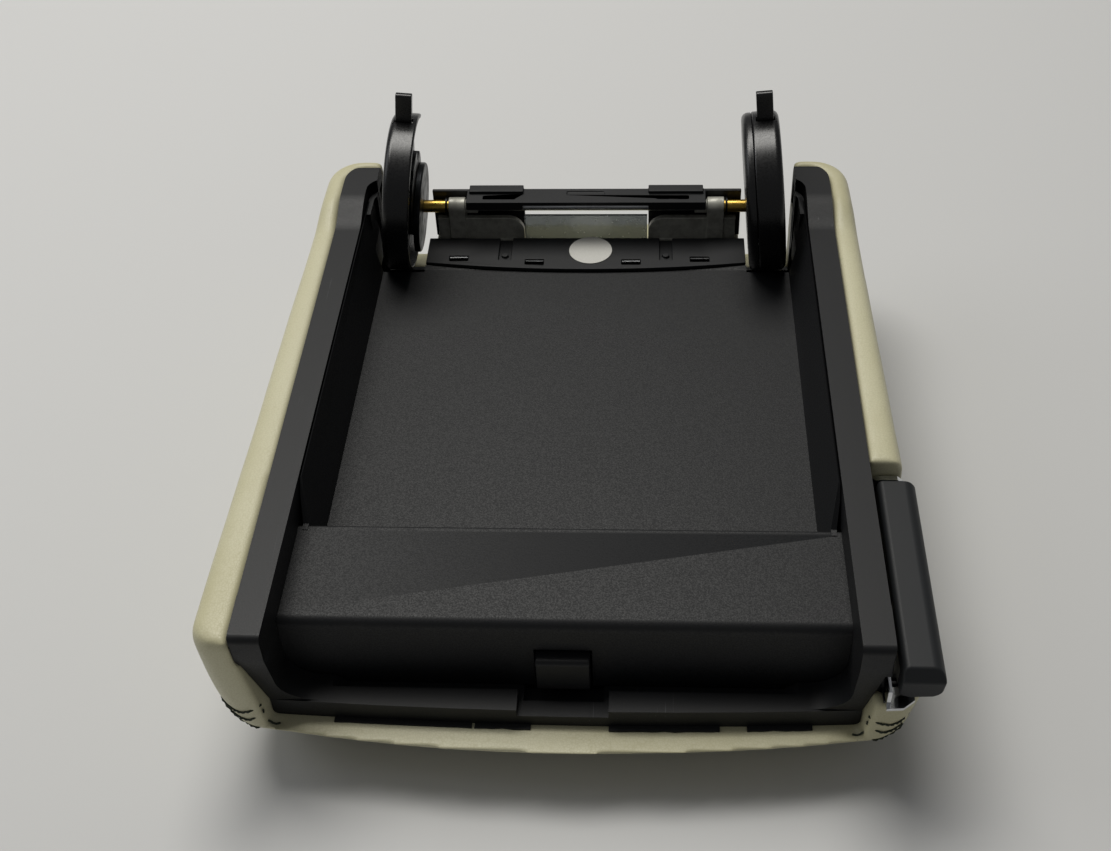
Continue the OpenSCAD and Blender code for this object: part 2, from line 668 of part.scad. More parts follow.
pin_end_x = ear_x + 2.4;
groove_w = 1;
module pin_right() {
  color("#b99b3e") difference() {
    rod_x(boss_x0, pin_end_x, axis_y, axis_z, pin_d / 2);
    difference() {
      rod_x(boss_x1 + 0.6, boss_x1 + 0.6 + groove_w, axis_y, axis_z, pin_d / 2 + 1);
      rod_x(boss_x1, boss_x1 + 3, axis_y, axis_z, pin_d / 2 - 0.7);
    }
  }
}
module pin_left() mirror([1, 0, 0]) pin_right();

// E-clips in the pins' grooves beside the bosses
module pin_clips() {
  color("#6f7276") both() difference() {
    rod_x(boss_x1 + 0.7, boss_x1 + 0.5 + groove_w, axis_y, axis_z, clip_r);
    rod_x(boss_x1, boss_x1 + 3, axis_y, axis_z, pin_d / 2 - 0.65);
    block([boss_x1, axis_y - 1.6, axis_z - 10], [boss_x1 + 3, axis_y + 1.6, axis_z]);
  }
}

// --------------------------------------------------------------- the ears

// Places a piece drawn about the ear's own centre, outer side towards +X
module on_ear() translate([ear_x, ear_y, ear_z]) rotate([0, -ear_lean, 0]) children();

// Ring or disc about local X from an (x, r) outline
module turned() rotate([0, 90, 0]) rotate_extrude($fn = 96) children();

tab_angle = 82;
tab_w = 7.5;
tab_t = 4;
ear_fillet = 3;
half_t = ear_t / 2;
arm_t = 5;
arm_x1 = half_t - cover_wall - 0.2;
arm_x0 = arm_x1 - arm_t;
case_r = 20;
hub_t = 2.7;
hub_x1 = -half_t + 0.1;
hub_x0 = hub_x1 - hub_t;
bolt_up = 20;

// Moulded ear cover, open towards the middle of the lid
function cover_outline() = let (r = ear_r, f = ear_fillet, w = cover_wall) concat(
  [[0, half_t]], arc(r - f, half_t - f, f, 90, 0), arc(r - 1, -half_t + 1, 1, 0, -90),
  [[r - w, -half_t], [r - w, half_t - w], [0, half_t - w]]);

module bolt_holes(r) both_bolts() rod_x(ear_x - 12, ear_x + 12, ear_y, ear_z + bolt_up, r);
module both_bolts() for (s = [-1, 1]) translate([0, s * bolt_pitch / 2, 0]) children();

module ear_cover_body() {
  difference() {
    on_ear() turned() polygon(cover_outline());
    on_ear() rotate([tab_angle, 0, 0]) block([-tab_w / 2 - 0.4, 20, -tab_t / 2 - 0.4], [tab_w / 2 + 0.4,
        ear_r + 2, tab_t / 2 + 0.4]);
    rod_x(ear_x - 12, ear_x + 12, axis_y, axis_z, pin_d / 2 + 3);
    bolt_holes(bolt_r + 2.6);
  }
}

// The left cover is broken away at the rear and ends in a hook
module ear_cover_left() {
  color("#141416") mirror([1, 0, 0]) difference() {
    ear_cover_body();
    on_ear() along_x(-half_t - 1, half_t - cover_wall - 0.1) polygon([[0, 0], [18, 30], [60, 34], [60,
        -50], [24, -60]]);
  }
}
module ear_cover_right() color("#141416") ear_cover_body();

// Snap-on cap that closes the right ear towards the middle
module ear_cap_right() {
  r = ear_r - 0.3;
  x1 = -half_t - 0.2;
  x0 = hub_x0 - 1.9;
  color("#141416") difference() {
    on_ear() turned() polygon(concat([[0, x0]], arc(r - ear_fillet, x0 + ear_fillet, ear_fillet, -90, 0),
      [[r, x1], [r - 1.6, x1], [r - 1.6, x0 + 1.8], [0, x0 + 1.6]]));
    rod_x(ear_x - 20, ear_x, axis_y, axis_z, pin_d / 2 + 0.8);
  }
}

module ear_arm_body() {
  difference() {
    union() {
      on_ear() rotate([0, 90, 0]) translate([0, 0, arm_x0]) cylinder(h = arm_t,
          r = ear_r - cover_wall - 0.5, $fn = 96);
      intersection() {
        rod_x(ear_x - 15, ear_x + 10, axis_y, axis_z, 7);
        on_ear() block([hub_x1 + 0.1, -40, -40], [arm_x1, 40, 40]);
      }
      on_ear() rotate([tab_angle, 0, 0]) intersection() {
        block([-tab_w / 2, 25, -tab_t / 2], [tab_w / 2, ear_r + tab_len, tab_t / 2]);
        along_x(-tab_w, tab_w) polygon(concat([[25, -tab_t / 2]], arc(ear_r + tab_len - 1.5, -tab_t / 2 +
            1.5, 1.5, -90, 0),
          arc(ear_r + tab_len - 1.5, tab_t / 2 - 1.5, 1.5, 0, 90), [[25, tab_t / 2]]));
      }
    }
    rod_x(ear_x - 20, ear_x + 20, axis_y, axis_z, pin_d / 2 + run_fit);
    bolt_holes(bolt_r);
  }
}
module ear_arm_right() color("#2b2b2d") ear_arm_body();
module ear_arm_left() color("#2b2b2d") mirror([1, 0, 0]) ear_arm_body();

// Flat case of the counterbalance spring, cut round the arm's boss
module spring_case_body() {
  difference() {
    on_ear() rotate([0, 90, 0]) translate([0, 0, -half_t + 0.4]) cylinder(h = arm_x0 + half_t - 0.4,
        r = case_r);
    rod_x(ear_x - 20, ear_x + 20, axis_y, axis_z, 7.3);
    on_ear() block([-20, 6, 14], [20, 30, 30]);
    bolt_holes(bolt_r + 3);
  }
}
module spring_case_right() color("#1d1d1f") spring_case_body();
module spring_case_left() color("#1d1d1f") mirror([1, 0, 0]) spring_case_body();

module hub_disc_body() {
  difference() {
    on_ear() translate([0, ear_ahead, -ear_above]) turned() polygon(concat(
      [[0, hub_x0]], arc(hub_r - 1, hub_x0 + 1, 1, -90, 0), [[hub_r, hub_x1], [0, hub_x1]]));
    rod_x(ear_x - 20, ear_x + 20, axis_y, axis_z, pin_d / 2 + run_fit);
  }
}
module hub_disc_right() color("#3a3c3f") hub_disc_body();
module hub_disc_left() color("#3a3c3f") mirror([1, 0, 0]) hub_disc_body();

// -------------------------------------------------------------- the latch

cheek_x = 11;
cheek_t = 2;

module latch_bracket() {
  top = block_z - tub_t;
  color("#77797c") difference() {
    union() {
      both() block([cheek_x, hook_pin_y - 5.5, hook_pin_z - 8], [cheek_x + cheek_t, hook_pin_y + 12, top]);
      block([-cheek_x - 10, hook_pin_y - 2, top - 1.6], [cheek_x + 10, hook_pin_y + 12, top]);
    }
    rod_x(-cheek_x - 4, cheek_x + 4, hook_pin_y, hook_pin_z, hook_pin_d / 2 + 0.02);
    block([-cheek_x, hook_pin_y - 6, top - 3], [cheek_x, hook_pin_y + 6.5, top + 1]);
  }
}

module latch_pin() {
  color("#b9bcc0") rod_x(-cheek_x - cheek_t - 0.5, cheek_x + cheek_t + 0.5, hook_pin_y, hook_pin_z,
      hook_pin_d / 2);
}

// Hook: eye on the pin, nose through the block's front wall, tail to the crank
tail_y = crank_y + finger_r + 0.3;
module latch_hook() {
  nose_z1 = hook_pin_z - 7;
  nose_z0 = nose_z1 - 17;
  color("#161618") difference() {
    union() {
      rod_x(-5, 5, hook_pin_y, hook_pin_z, hook_eye_r);
      along_x(-5, 5) polygon([[hook_pin_y - 8, nose_z1 - 1], [hook_pin_y - 3.5, hook_pin_z],
          [hook_pin_y + 3.5, hook_pin_z],
        [tail_y + 4, rod_z + 5], [tail_y + 4, rod_z - 6], [tail_y, rod_z - 6], [tail_y, rod_z + 5],
        [hook_pin_y + 1, hook_pin_z - 7], [hook_pin_y - 8, nose_z0 + 4]]);
      along_x(-hook_w / 2, hook_w / 2) polygon(concat(
        arc(ys(nose_out) + 2, nose_z1 - 2, 2, 180, 90), [[hook_pin_y - 5.8, nose_z1], [hook_pin_y - 5.8,
            nose_z0]],
        arc(ys(nose_out) + 2, nose_z0 + 2, 2, 270, 180)));
    }
    rod_x(-20, 20, hook_pin_y, hook_pin_z, hook_pin_d / 2 + run_fit);
  }
}

module latch_spring() {
  color("#c3c6c9") translate([0, hook_pin_y, hook_pin_z]) coil_x(5.6, 4, hook_pin_d / 2 + 1.1, wire_d);
}

// Bell crank: turns the rod's push sideways into the hook's pull
module bell_crank() {
  h = 4;
  color("#9a9da0") translate([crank_x, crank_y, rod_z - h / 2]) difference() {
    union() {
      cylinder(h = h, r = 4.2);
      translate([0, -crank_arm, 0]) cylinder(h = h, r = finger_r);
      translate([-2, -crank_arm, 0]) cube([4, crank_arm, h]);
      translate([-finger_len, 0, 0]) cylinder(h = h, r = finger_r);
      translate([-finger_len, -2, 0]) cube([finger_len, 4, h]);
    }
    translate([0, 0, -1]) cylinder(h = h + 2, r = hook_pin_d / 2 - 0.5 + run_fit);
  }
}

module crank_pin() {
  color("#b9bcc0") translate([crank_x, crank_y, shell_floor_z]) cylinder(h = rod_z + 2.3 - shell_floor_z,
      r = hook_pin_d / 2 - 0.5);
  color("#b9bcc0") translate([crank_x, crank_y, rod_z + 2.3]) cylinder(h = 1, r = 3.4);
}

module push_rod() {
  color("#b9bcc0") rod_x(crank_x + finger_r + 0.3, axle_x - 2.6, rod_y, rod_z, rod_d / 2);
}

// --------------------------------------------------------- release lever

// Section of the lever's moulded handle
function lever_section() = let (x0 = lever_x0, x1 = lever_x0 + lever_w, z0 = lever_z0,
    z1 = lever_z1) concat(
  arc(x0 + 2.5, z1 - 2.5, 2.5, 180, 90), arc(x1 - 5, z1 - 5, 5, 90, 0), arc(x1 - 6, z0 + 6, 6, 0, -60),
  [[x0 + 4, z0]], arc(x0 + 1.5, z0 + 3, 1.5, 240, 180));

module release_lever() {
  color("#19191b") difference() {
    along_y(lever_y0, lever_y1) polygon(lever_section());
    // Sloped front end, as the lever follows the corner of the lid
    along_x(lever_x0 - 1, lever_x0 + lever_w + 1) polygon([[lever_y0 - 1, lever_z0 - 1], [lever_y0 + 3,
        lever_z0 - 1],
      [lever_y0, lever_z1 - 5], [lever_y0 + 4, lever_z1 + 1], [lever_y0 - 1, lever_z1 + 1]]);
    // Pocket for the core
    block([lever_x0 - 1, lever_y0 + 8, lever_z0 - 1], [lever_x0 + 6.2, lever_y1 - 8, lever_z0 + 9.2]);
  }
}

// Core: bar inside the handle, two lugs on the axle and the crank
lug_w = 5;
lug_at = [18, lever_len - 14];
module lever_core() {
  color("#3a3c3f") difference() {
    union() {
      block([lever_x0 + 0.2, lever_y0 + 8.2, lever_z0 + 1.5], [lever_x0 + 6, lever_y1 - 8.2, lever_z0 + 9]);
      for (d = concat(lug_at, [rod_y - lever_y0])) translate([0, lever_y0 + d, 0]) {
        translate([axle_x, lug_w / 2, axle_z]) rotate([90, 0, 0]) cylinder(h = lug_w, r = axle_d / 2 + 1.6);
        block([axle_x - 2, -lug_w / 2, axle_z], [axle_x + 2, lug_w / 2, lever_z0 + 2]);
      }
      translate([axle_x - 2, rod_y - lug_w / 2, rod_z - 2.6]) cube([4, lug_w, axle_z - rod_z + 2.6]);
    }
    translate([axle_x, lever_y1, axle_z]) rotate([90, 0, 0]) cylinder(h = lever_len, r = axle_d / 2 +
        run_fit);
  }
}

module lever_axle() {
  color("#b9bcc0") translate([axle_x, housing_y1 - 0.6, axle_z]) rotate([90, 0, 0])
    cylinder(h = housing_y1 - lever_y0 - 10.3, r = axle_d / 2);
}

module lever_spring() {
  color("#c3c6c9") translate([axle_x, lever_y0 + 50, axle_z]) rotate([0, 0, 90]) coil_x(0, 6,
      axle_d / 2 + 1.1, wire_d);
}

// Trough that carries the axle, with a bezel that lies on the padding round it
bearing_half = 3.5;
bearing_up = 3.1;
module lever_housing() {
  y0 = lever_y0 + 10;
  y1 = housing_y1 - 0.3;
  w = housing_wall;
  color("#1d1d1f") difference() {
    union() {
      difference() {
        block([housing_x0, y0, housing_z0], [housing_x1, y1, bezel_z + w]);
        block([housing_x0 + w, y0 + w, housing_z0 + w], [housing_x1 - w, y1 - w, bezel_z + w + 1]);
      }
      for (y = [y0, y1 - w]) block([axle_x - bearing_half, y, axle_z - 6], [axle_x + bearing_half, y + w,
          axle_z + bearing_up]);
      // Bezel
      difference() {
        intersection() {
          slab(bezel_z, bezel_z + w) polygon([for (p = pad_level(bezel_z, 0.8)) [p.x, p.y]]);
          block([rim_x0 - 1.6, ys(-30), bezel_z - 1], [rim_x0 + 40, y1, rail_z]);
        }
        block([housing_x0 + w, y0 + w, bezel_z - 1], [housing_x1 - w, y1 - w, bezel_z + w + 1]);
      }
      // Rear end wall that backs the chromed trim
      block([rim_x0 + 1.2, lever_y1 + 0.4, bezel_z], [lever_x0 + lever_w - 4, y1, lever_z0 + 6]);
    }
    translate([axle_x, y1 + 1, axle_z]) rotate([90, 0, 0]) cylinder(h = y1 - y0 + 2, r = axle_d / 2 + 0.02);
    rod_x(housing_x0 - 1, housing_x0 + 3, rod_y, rod_z, rod_d / 2 + 1.2);
  }
}

// Chromed end trims
module lever_trim_rear() {
  color("#cfd3d6") along_y(lever_y1 + 0.4, lever_y1 + 2.6) polygon([[rim_x0 + 1.2, lever_z0 + 6.2],
    [rim_x0 + 1.2, lever_z1 - 2], [rim_x0 + 4, lever_z1 - 0.4], [lever_x0 + lever_w - 7, lever_z1 - 0.4],
    [lever_x0 + lever_w - 2.5, lever_z1 - 5], [lever_x0 + lever_w - 4, lever_z0 + 6.2]]);
}
module lever_trim_front() {
  z0 = bezel_z + housing_wall + 0.1;
  x0 = rim_x0 - 1.2;
  color("#cfd3d6") {
    slab(z0, z0 + 1.3) polygon([[x0, ys(-4.5)], [x0 + 6, ys(-4)], [housing_x1 - 1, ys(-0.5)],
        [housing_x1 - 1, ys(5)], [x0, ys(5)]]);
    block([x0, ys(-3), z0], [x0 + 1.4, ys(5), z0 + 9]);
  }
}

// -------------------------------------------------------------- fasteners

module panel_screws() {
  color("#8f9296") for (p = screw_spots) translate([p.x, p.y, shell_z + 0.1]) {
    cylinder(h = head_h, r = head_r);
    cylinder(h = 15, r = screw_d / 2 - 0.35);
  }
}

module bracket_screws() {
  color("#8f9296") both() for (x = bracket_screw_x) translate([x, bracket_screw_y, 0]) {
    translate([0, 0, floor_z - screw_head_h - 0.3]) cylinder(h = screw_head_h, r = head_r);
    translate([0, 0, bracket_base_z - 12]) cylinder(h = 14.5, r = screw_d / 2 - 0.35);
  }
}

// Spring-steel clips that hold the cover plate, seen through its windows
module cover_clips() {
  color("#8f9296") for (x = clip_xs) translate([x, yr(bow_in(x) - 3 - clip_d + 1.5), 0]) {
    block([-clip_w / 2 + 0.3, 0, floor_z - 5], [clip_w / 2 - 0.3, 0.8, plate_z - 0.3]);
    block([-clip_w / 2 + 0.3, 0.6, floor_z - 1], [clip_w / 2 - 0.3, 4, floor_z - 0.1]);
  }
}

leather_cover();
foam_pad();
top_shell();
rim_frame();
tub_panel();
hinge_cover();
rear_bar();
round_label();
clear_strip();
torsion_bar();
bracket_left();
bracket_right();
pin_left();
pin_right();
pin_clips();
ear_cover_left();
ear_cover_right();
ear_cap_right();
ear_arm_left();
ear_arm_right();
spring_case_left();
spring_case_right();
hub_disc_left();
hub_disc_right();
latch_bracket();
latch_hook();
latch_pin();
latch_spring();
bell_crank();
crank_pin();
push_rod();
release_lever();
lever_core();
lever_axle();
lever_spring();
lever_housing();
lever_trim_rear();
lever_trim_front();
panel_screws();
bracket_screws();
cover_clips();
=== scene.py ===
"""Looks of the padded console armrest lid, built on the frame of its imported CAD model."""
from __future__ import annotations

import json
import logging
import math
from dataclasses import dataclass, field
from enum import Enum

import bmesh
import bpy
from mathutils import Matrix, Vector, noise
from mathutils.bvhtree import BVHTree

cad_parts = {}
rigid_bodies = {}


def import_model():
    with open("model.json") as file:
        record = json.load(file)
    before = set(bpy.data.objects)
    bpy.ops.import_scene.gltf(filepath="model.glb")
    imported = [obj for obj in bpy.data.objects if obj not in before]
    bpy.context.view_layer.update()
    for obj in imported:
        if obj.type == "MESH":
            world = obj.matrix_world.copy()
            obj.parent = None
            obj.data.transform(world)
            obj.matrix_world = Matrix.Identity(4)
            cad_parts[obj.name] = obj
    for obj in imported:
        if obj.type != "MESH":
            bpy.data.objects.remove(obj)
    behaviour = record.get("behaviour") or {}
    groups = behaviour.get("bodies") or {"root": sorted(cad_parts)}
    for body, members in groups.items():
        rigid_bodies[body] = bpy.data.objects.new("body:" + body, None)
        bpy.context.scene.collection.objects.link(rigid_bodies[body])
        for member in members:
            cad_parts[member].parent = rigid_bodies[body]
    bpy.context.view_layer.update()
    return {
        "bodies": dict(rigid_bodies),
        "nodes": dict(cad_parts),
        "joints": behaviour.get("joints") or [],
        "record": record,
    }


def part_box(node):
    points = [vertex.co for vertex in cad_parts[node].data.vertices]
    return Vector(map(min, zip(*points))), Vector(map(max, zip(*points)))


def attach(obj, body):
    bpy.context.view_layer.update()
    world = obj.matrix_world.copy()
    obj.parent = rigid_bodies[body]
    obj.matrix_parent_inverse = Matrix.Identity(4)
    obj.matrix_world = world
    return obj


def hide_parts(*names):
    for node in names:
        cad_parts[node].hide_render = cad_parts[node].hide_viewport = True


log = logging.getLogger("armrest_lid")

MM = 0.001
HALF_LEN = 141.0
RIM_TOP = 80.0

Point = tuple[float, float, float]


# ---------------------------------------------------------------- small tools


def linear(colour: str, alpha: float = 1.0) -> tuple[float, float, float, float]:
    """Turns an sRGB hex colour into Blender's linear RGBA.

    Args:
        colour: Six hex digits with a leading hash.
        alpha: Opacity from 0 to 1.

    Returns:
        Linear red, green, blue and alpha.
    """
    parts = [int(colour[i : i + 2], 16) / 255 for i in (1, 3, 5)]
    red, green, blue = (c / 12.92 if c <= 0.04045 else ((c + 0.055) / 1.055) ** 2.4 for c in parts)
    return (red, green, blue, alpha)


def add_node(
    tree: bpy.types.NodeTree,
    kind: str,
    values: dict[str | int, object] | None = None,
    links: dict[str | int, bpy.types.NodeSocket] | None = None,
    **settings: object,
) -> bpy.types.Node:
    """Adds one node with its settings, socket values and incoming links.

    Args:
        tree: The node tree that gets the node.
        kind: Blender's node type name.
        values: Input socket values by name or number.
        links: Output sockets to join to inputs by name or number.
        **settings: Properties of the node itself.

    Returns:
        The new node.
    """
    made = tree.nodes.new(kind)
    for name, value in settings.items():
        setattr(made, name, value)
    for key, value in (values or {}).items():
        made.inputs[key].default_value = value
    for key, socket in (links or {}).items():
        tree.links.new(socket, made.inputs[key])
    return made


def ramp(
    tree: bpy.types.NodeTree,
    factor: bpy.types.NodeSocket,
    low: float,
    high: float,
    to_low: float,
    to_high: float,
) -> bpy.types.NodeSocket:
    """Maps one range of a value smoothly on another.

    Args:
        tree: The node tree to work in.
        factor: The value to map.
        low: Where the map starts.
        high: Where the map ends.
        to_low: The result at and below low.
        to_high: The result at and above high.

    Returns:
        The mapped value's socket.
    """
    made = add_node(tree, "ShaderNodeMapRange", interpolation_type="SMOOTHSTEP", links={0: factor})
    for index, value in enumerate((low, high, to_low, to_high), start=1):
        made.inputs[index].default_value = value
    return made.outputs[0]


def blend_colour(
    tree: bpy.types.NodeTree, factor: bpy.types.NodeSocket, first: object, second: object
) -> bpy.types.NodeSocket:
    """Mixes two colours, each a socket or a linear colour.

    Args:
        tree: The node tree to work in.
        factor: Share of the second colour.
        first: Colour or socket at 0.
        second: Colour or socket at 1.

    Returns:
        The mixed colour's socket.
    """
    made = add_node(tree, "ShaderNodeMix", data_type="RGBA", links={0: factor})
    for index, item in ((6, first), (7, second)):
        if isinstance(item, bpy.types.NodeSocket):
            tree.links.new(item, made.inputs[index])
        else:
            made.inputs[index].default_value = item
    return made.outputs[2]


def new_piece(name: str, mesh: bpy.types.Mesh) -> bpy.types.Object:
    """Links a new object that holds the mesh."""
    piece = bpy.data.objects.new(name, mesh)
    bpy.context.scene.collection.objects.link(piece)
    return piece


def settle(piece: bpy.types.Object) -> bpy.types.Object:
    """Replaces a piece's mesh by the result of its modifiers and clears them."""
    graph = bpy.context.evaluated_depsgraph_get()
    graph.update()
    mesh = bpy.data.meshes.new_from_object(piece.evaluated_get(graph))
    piece.modifiers.clear()
    old = piece.data
    piece.data = mesh
    bpy.data.meshes.remove(old)
    return piece


def shade(piece: bpy.types.Object, degrees: float) -> None:
    """Shades a piece smooth, with edges sharper than the angle kept crisp."""
    piece.data.polygons.foreach_set("use_smooth", [True] * len(piece.data.polygons))
    piece.data.set_sharp_from_angle(angle=math.radians(degrees))


def dress(piece: bpy.types.Object, material: bpy.types.Material) -> None:
    """Gives the whole piece one material."""
    piece.data.materials.clear()
    piece.data.materials.append(material)


def prism(
    name: str, outline: list[tuple[float, float]], axis: str, low: float, high: float
) -> bpy.types.Object:
    """Makes a straight prism from an outline.

    Args:
        name: Name of the new object.
        outline: Corners in mm, in the plane across the axis: (y, z) for x, (x, z) for y and (x, y) for z.
        axis: The direction of the prism: x, y or z.
        low: Where it starts along the axis, in mm.
        high: Where it ends along the axis, in mm.

    Returns:
        The new object, in metres.
    """
    place = {
        "x": lambda a, b, t: (t, a, b), "y": lambda a, b, t: (a, t, b), "z": lambda a, b, t: (a, b, t)
    }[axis]
    mesh = bmesh.new()
    ends = [[mesh.verts.new(Vector(place(a, b, t)) * MM) for a, b in outline] for t in (low, high)]
    count = len(outline)
    mesh.faces.new(ends[0])
    mesh.faces.new(ends[1])
    for i in range(count):
        j = (i + 1) % count
        mesh.faces.new((ends[0][i], ends[0][j], ends[1][j], ends[1][i]))
    bmesh.ops.recalc_face_normals(mesh, faces=mesh.faces)
    data = bpy.data.meshes.new(name)
    mesh.to_mesh(data)
    mesh.free()
    return new_piece(name, data)


def box_between(name: str, low: Point, high: Point) -> bpy.types.Object:
    """Makes a box between two corners given in mm."""
    outline = [(low[0], low[1]), (high[0], low[1]), (high[0], high[1]), (low[0], high[1])]
    return prism(name, outline, "z", low[2], high[2])


def tube(
    name: str, path: list[Vector], radius: float, sides: int = 8, closed_ends: bool = True
) -> bpy.types.Object:
    """Sweeps a round section along a path.

    Args:
        name: Name of the new object.
        path: Points in metres.
        radius: Radius in mm.
        sides: Corners of the round section.
        closed_ends: Whether both ends get a cap.

    Returns:
        The new tube.
    """
    mesh = bmesh.new()
    rings = []
    for i, point in enumerate(path):
        ahead = (path[min(i + 1, len(path) - 1)] - path[max(i - 1, 0)]).normalized()
        side = ahead.cross(Vector((0.31, 0.17, 0.93))).normalized()
        up = side.cross(ahead)
        rings.append(
            [
                mesh.verts.new(point + (side * math.cos(a) + up * math.sin(a)) * radius * MM)
                for a in (2 * math.pi * k / sides for k in range(sides))
            ]
        )
    for first, second in zip(rings, rings[1:]):
        for k in range(sides):
            m = (k + 1) % sides
            mesh.faces.new((first[k], first[m], second[m], second[k]))
    if closed_ends:
        mesh.faces.new(list(reversed(rings[0])))
        mesh.faces.new(rings[-1])
    bmesh.ops.recalc_face_normals(mesh, faces=mesh.faces)
    data = bpy.data.meshes.new(name)
    mesh.to_mesh(data)
    mesh.free()
    piece = new_piece(name, data)
    shade(piece, 50)
    return piece


# ------------------------------------------------------------------- finishes


class Surface(Enum):
    """How a metal's surface was made."""

    CAST = "cast"
    BRUSHED = "brushed"
    PLATED = "plated"


@dataclass(frozen=True)
class MouldedPlastic:
    """Injection-moulded black ABS; the grain of the tool breaks its sheen into fine speckle.

    Attributes:
        name: Material name.
        colour: Body colour.
        worn: Colour where it is scuffed.
        grain_mm: Size of the tool's grain.
        depth_mm: Depth of the grain.
        rough: Roughness at the least and most.
        wear: Share of the surface with scuffs.
        scratch: Strength of fine lengthwise scratches.
        sheen: Level of the surface reflection.
    """

    name: str
    colour: str
    worn: str
    grain_mm: float
    depth_mm: float
    rough: tuple[float, float]
    wear: float = 0.0
    scratch: float = 0.0
    sheen: float = 0.3

    def build(self) -> bpy.types.Material:
        """Makes the material."""
        material = bpy.data.materials.new(self.name)
        material.use_nodes = True
        tree = material.node_tree
        shader = tree.nodes["Principled BSDF"]
        shader.inputs["IOR"].default_value = 1.53
        # Soot-filled ABS with a fine-grained skin gives back little of the sheen that its index alone would
        shader.inputs["Specular IOR Level"].default_value = self.sheen
        place = add_node(tree, "ShaderNodeTexCoord").outputs["Object"]
        grain = add_node(
            tree,
            "ShaderNodeTexNoise",
            {"Scale": 1000 / self.grain_mm, "Detail": 2.0, "Roughness": 0.6},
            {"Vector": place}
        ).outputs["Fac"]
        # Handling marks are hand sized, about 45 mm, and break up at their edges
        patches = add_node(
            tree, "ShaderNodeTexNoise", {"Scale": 22.0, "Detail": 6.0, "Roughness": 0.62}, {"Vector": place}
        )
        wear = ramp(
            tree, patches.outputs["Fac"], 0.64 - 0.2 * self.wear, 0.78, 0.0, 0.55 * min(1.0, self.wear)
        )
        colour = blend_colour(tree, wear, linear(self.colour), linear(self.worn))
        if self.scratch:
            # Scratches run along Y: 0.4 mm wide and some 40 mm long
            stretched = add_node(
                tree, "ShaderNodeMapping", {"Scale": (2400.0, 24.0, 1400.0)}, {"Vector": place}
            )
            lines = add_node(
                tree, "ShaderNodeTexNoise", {"Scale": 1.0, "Detail": 1.0}, {"Vector": stretched.outputs[0]}
            )
            mask = ramp(tree, lines.outputs["Fac"], 0.70, 0.80, 0.0, self.scratch)
            area = ramp(tree, patches.outputs["Fac"], 0.50, 0.66, 0.0, 1.0)
            both = add_node(tree, "ShaderNodeMath", operation="MULTIPLY", links={0: mask, 1: area})
            colour = blend_colour(tree, both.outputs[0], colour, linear("#8c9092"))
        tree.links.new(colour, shader.inputs["Base Color"])
        tree.links.new(ramp(tree, grain, 0.3, 0.7, self.rough[0], self.rough[1]), shader.inputs["Roughness"])
        bump = add_node(
            tree, "ShaderNodeBump", {"Strength": 0.6, "Distance": self.depth_mm * MM}, {"Height": grain}
        )
        tree.links.new(bump.outputs[0], shader.inputs["Normal"])
        return material


@dataclass(frozen=True)
class PaintedLeather:
    """Pigmented cowhide with a pressed pebble grain; age has yellowed it and left faint stains.

    Attributes:
        name: Material name.
        colour: Clean colour.
        aged: Colour where it has yellowed.
        stain: Colour of the small greenish marks.
        pebble_mm: Size of the pressed grain.
        rough: Roughness at the least and most.
    """

    name: str
    colour: str
    aged: str
    stain: str
    pebble_mm: float
    rough: tuple[float, float]

    def build(self) -> bpy.types.Material:
        """Makes the material."""
        material = bpy.data.materials.new(self.name)
        material.use_nodes = True
        tree = material.node_tree
        shader = tree.nodes["Principled BSDF"]
        shader.inputs["IOR"].default_value = 1.5
        shader.inputs["Sheen Weight"].default_value = 0.05
        place = add_node(tree, "ShaderNodeTexCoord").outputs["Object"]
        warp = add_node(tree, "ShaderNodeTexNoise", {"Scale": 350.0, "Detail": 2.0}, {"Vector": place})
        shifted = add_node(
            tree, "ShaderNodeVectorMath", {3: 0.0012}, {0: warp.outputs["Color"]}, operation="SCALE"
        )
        moved = add_node(
            tree, "ShaderNodeVectorMath", links={0: place, 1: shifted.outputs[0]}, operation="ADD"
        )
        pebble = add_node(
            tree,
            "ShaderNodeTexVoronoi",
            {"Scale": 1000 / self.pebble_mm},
            {"Vector": moved.outputs[0]},
            feature="DISTANCE_TO_EDGE",
        ).outputs["Distance"]
        valley = ramp(tree, pebble, 0.0, 0.16, 1.0, 0.0)
        broad = add_node(
            tree, "ShaderNodeTexNoise", {"Scale": 9.0, "Detail": 5.0, "Roughness": 0.55}, {"Vector": place}
        )
        aged = ramp(tree, broad.outputs["Fac"], 0.38, 0.66, 0.0, 1.0)
        colour = blend_colour(tree, aged, linear(self.colour), linear(self.aged))
        # Darker in the valleys of the grain
        deep = add_node(tree, "ShaderNodeMath", {1: 0.16}, {0: valley}, operation="MULTIPLY")
        colour = blend_colour(tree, deep.outputs[0], colour, linear("#8f8862"))
        # Marks a few millimetres across, where the dye has gone green
        marks = add_node(
            tree, "ShaderNodeTexNoise", {"Scale": 75.0, "Detail": 3.0, "Roughness": 0.7}, {"Vector": place}
        )
        few = ramp(tree, marks.outputs["Fac"], 0.69, 0.76, 0.0, 0.55)
        colour = blend_colour(tree, few, colour, linear(self.stain))
        tree.links.new(colour, shader.inputs["Base Color"])
        tree.links.new(ramp(tree, valley, 0.0, 1.0, self.rough[0], self.rough[1]), shader.inputs["Roughness"])
        creases = add_node(tree, "ShaderNodeTexNoise", {"Scale": 130.0, "Detail": 4.0}, {"Vector": place})
        low = add_node(
            tree,
            "ShaderNodeBump",
            {"Strength": 0.35, "Distance": 0.5 * MM},
            {"Height": creases.outputs["Fac"]}
        )
        fine = add_node(
            tree,
            "ShaderNodeBump",
            {"Strength": 0.5, "Distance": 0.10 * MM},
            {"Height": pebble, "Normal": low.outputs[0]}
        )
        tree.links.new(fine.outputs[0], shader.inputs["Normal"])
        return material


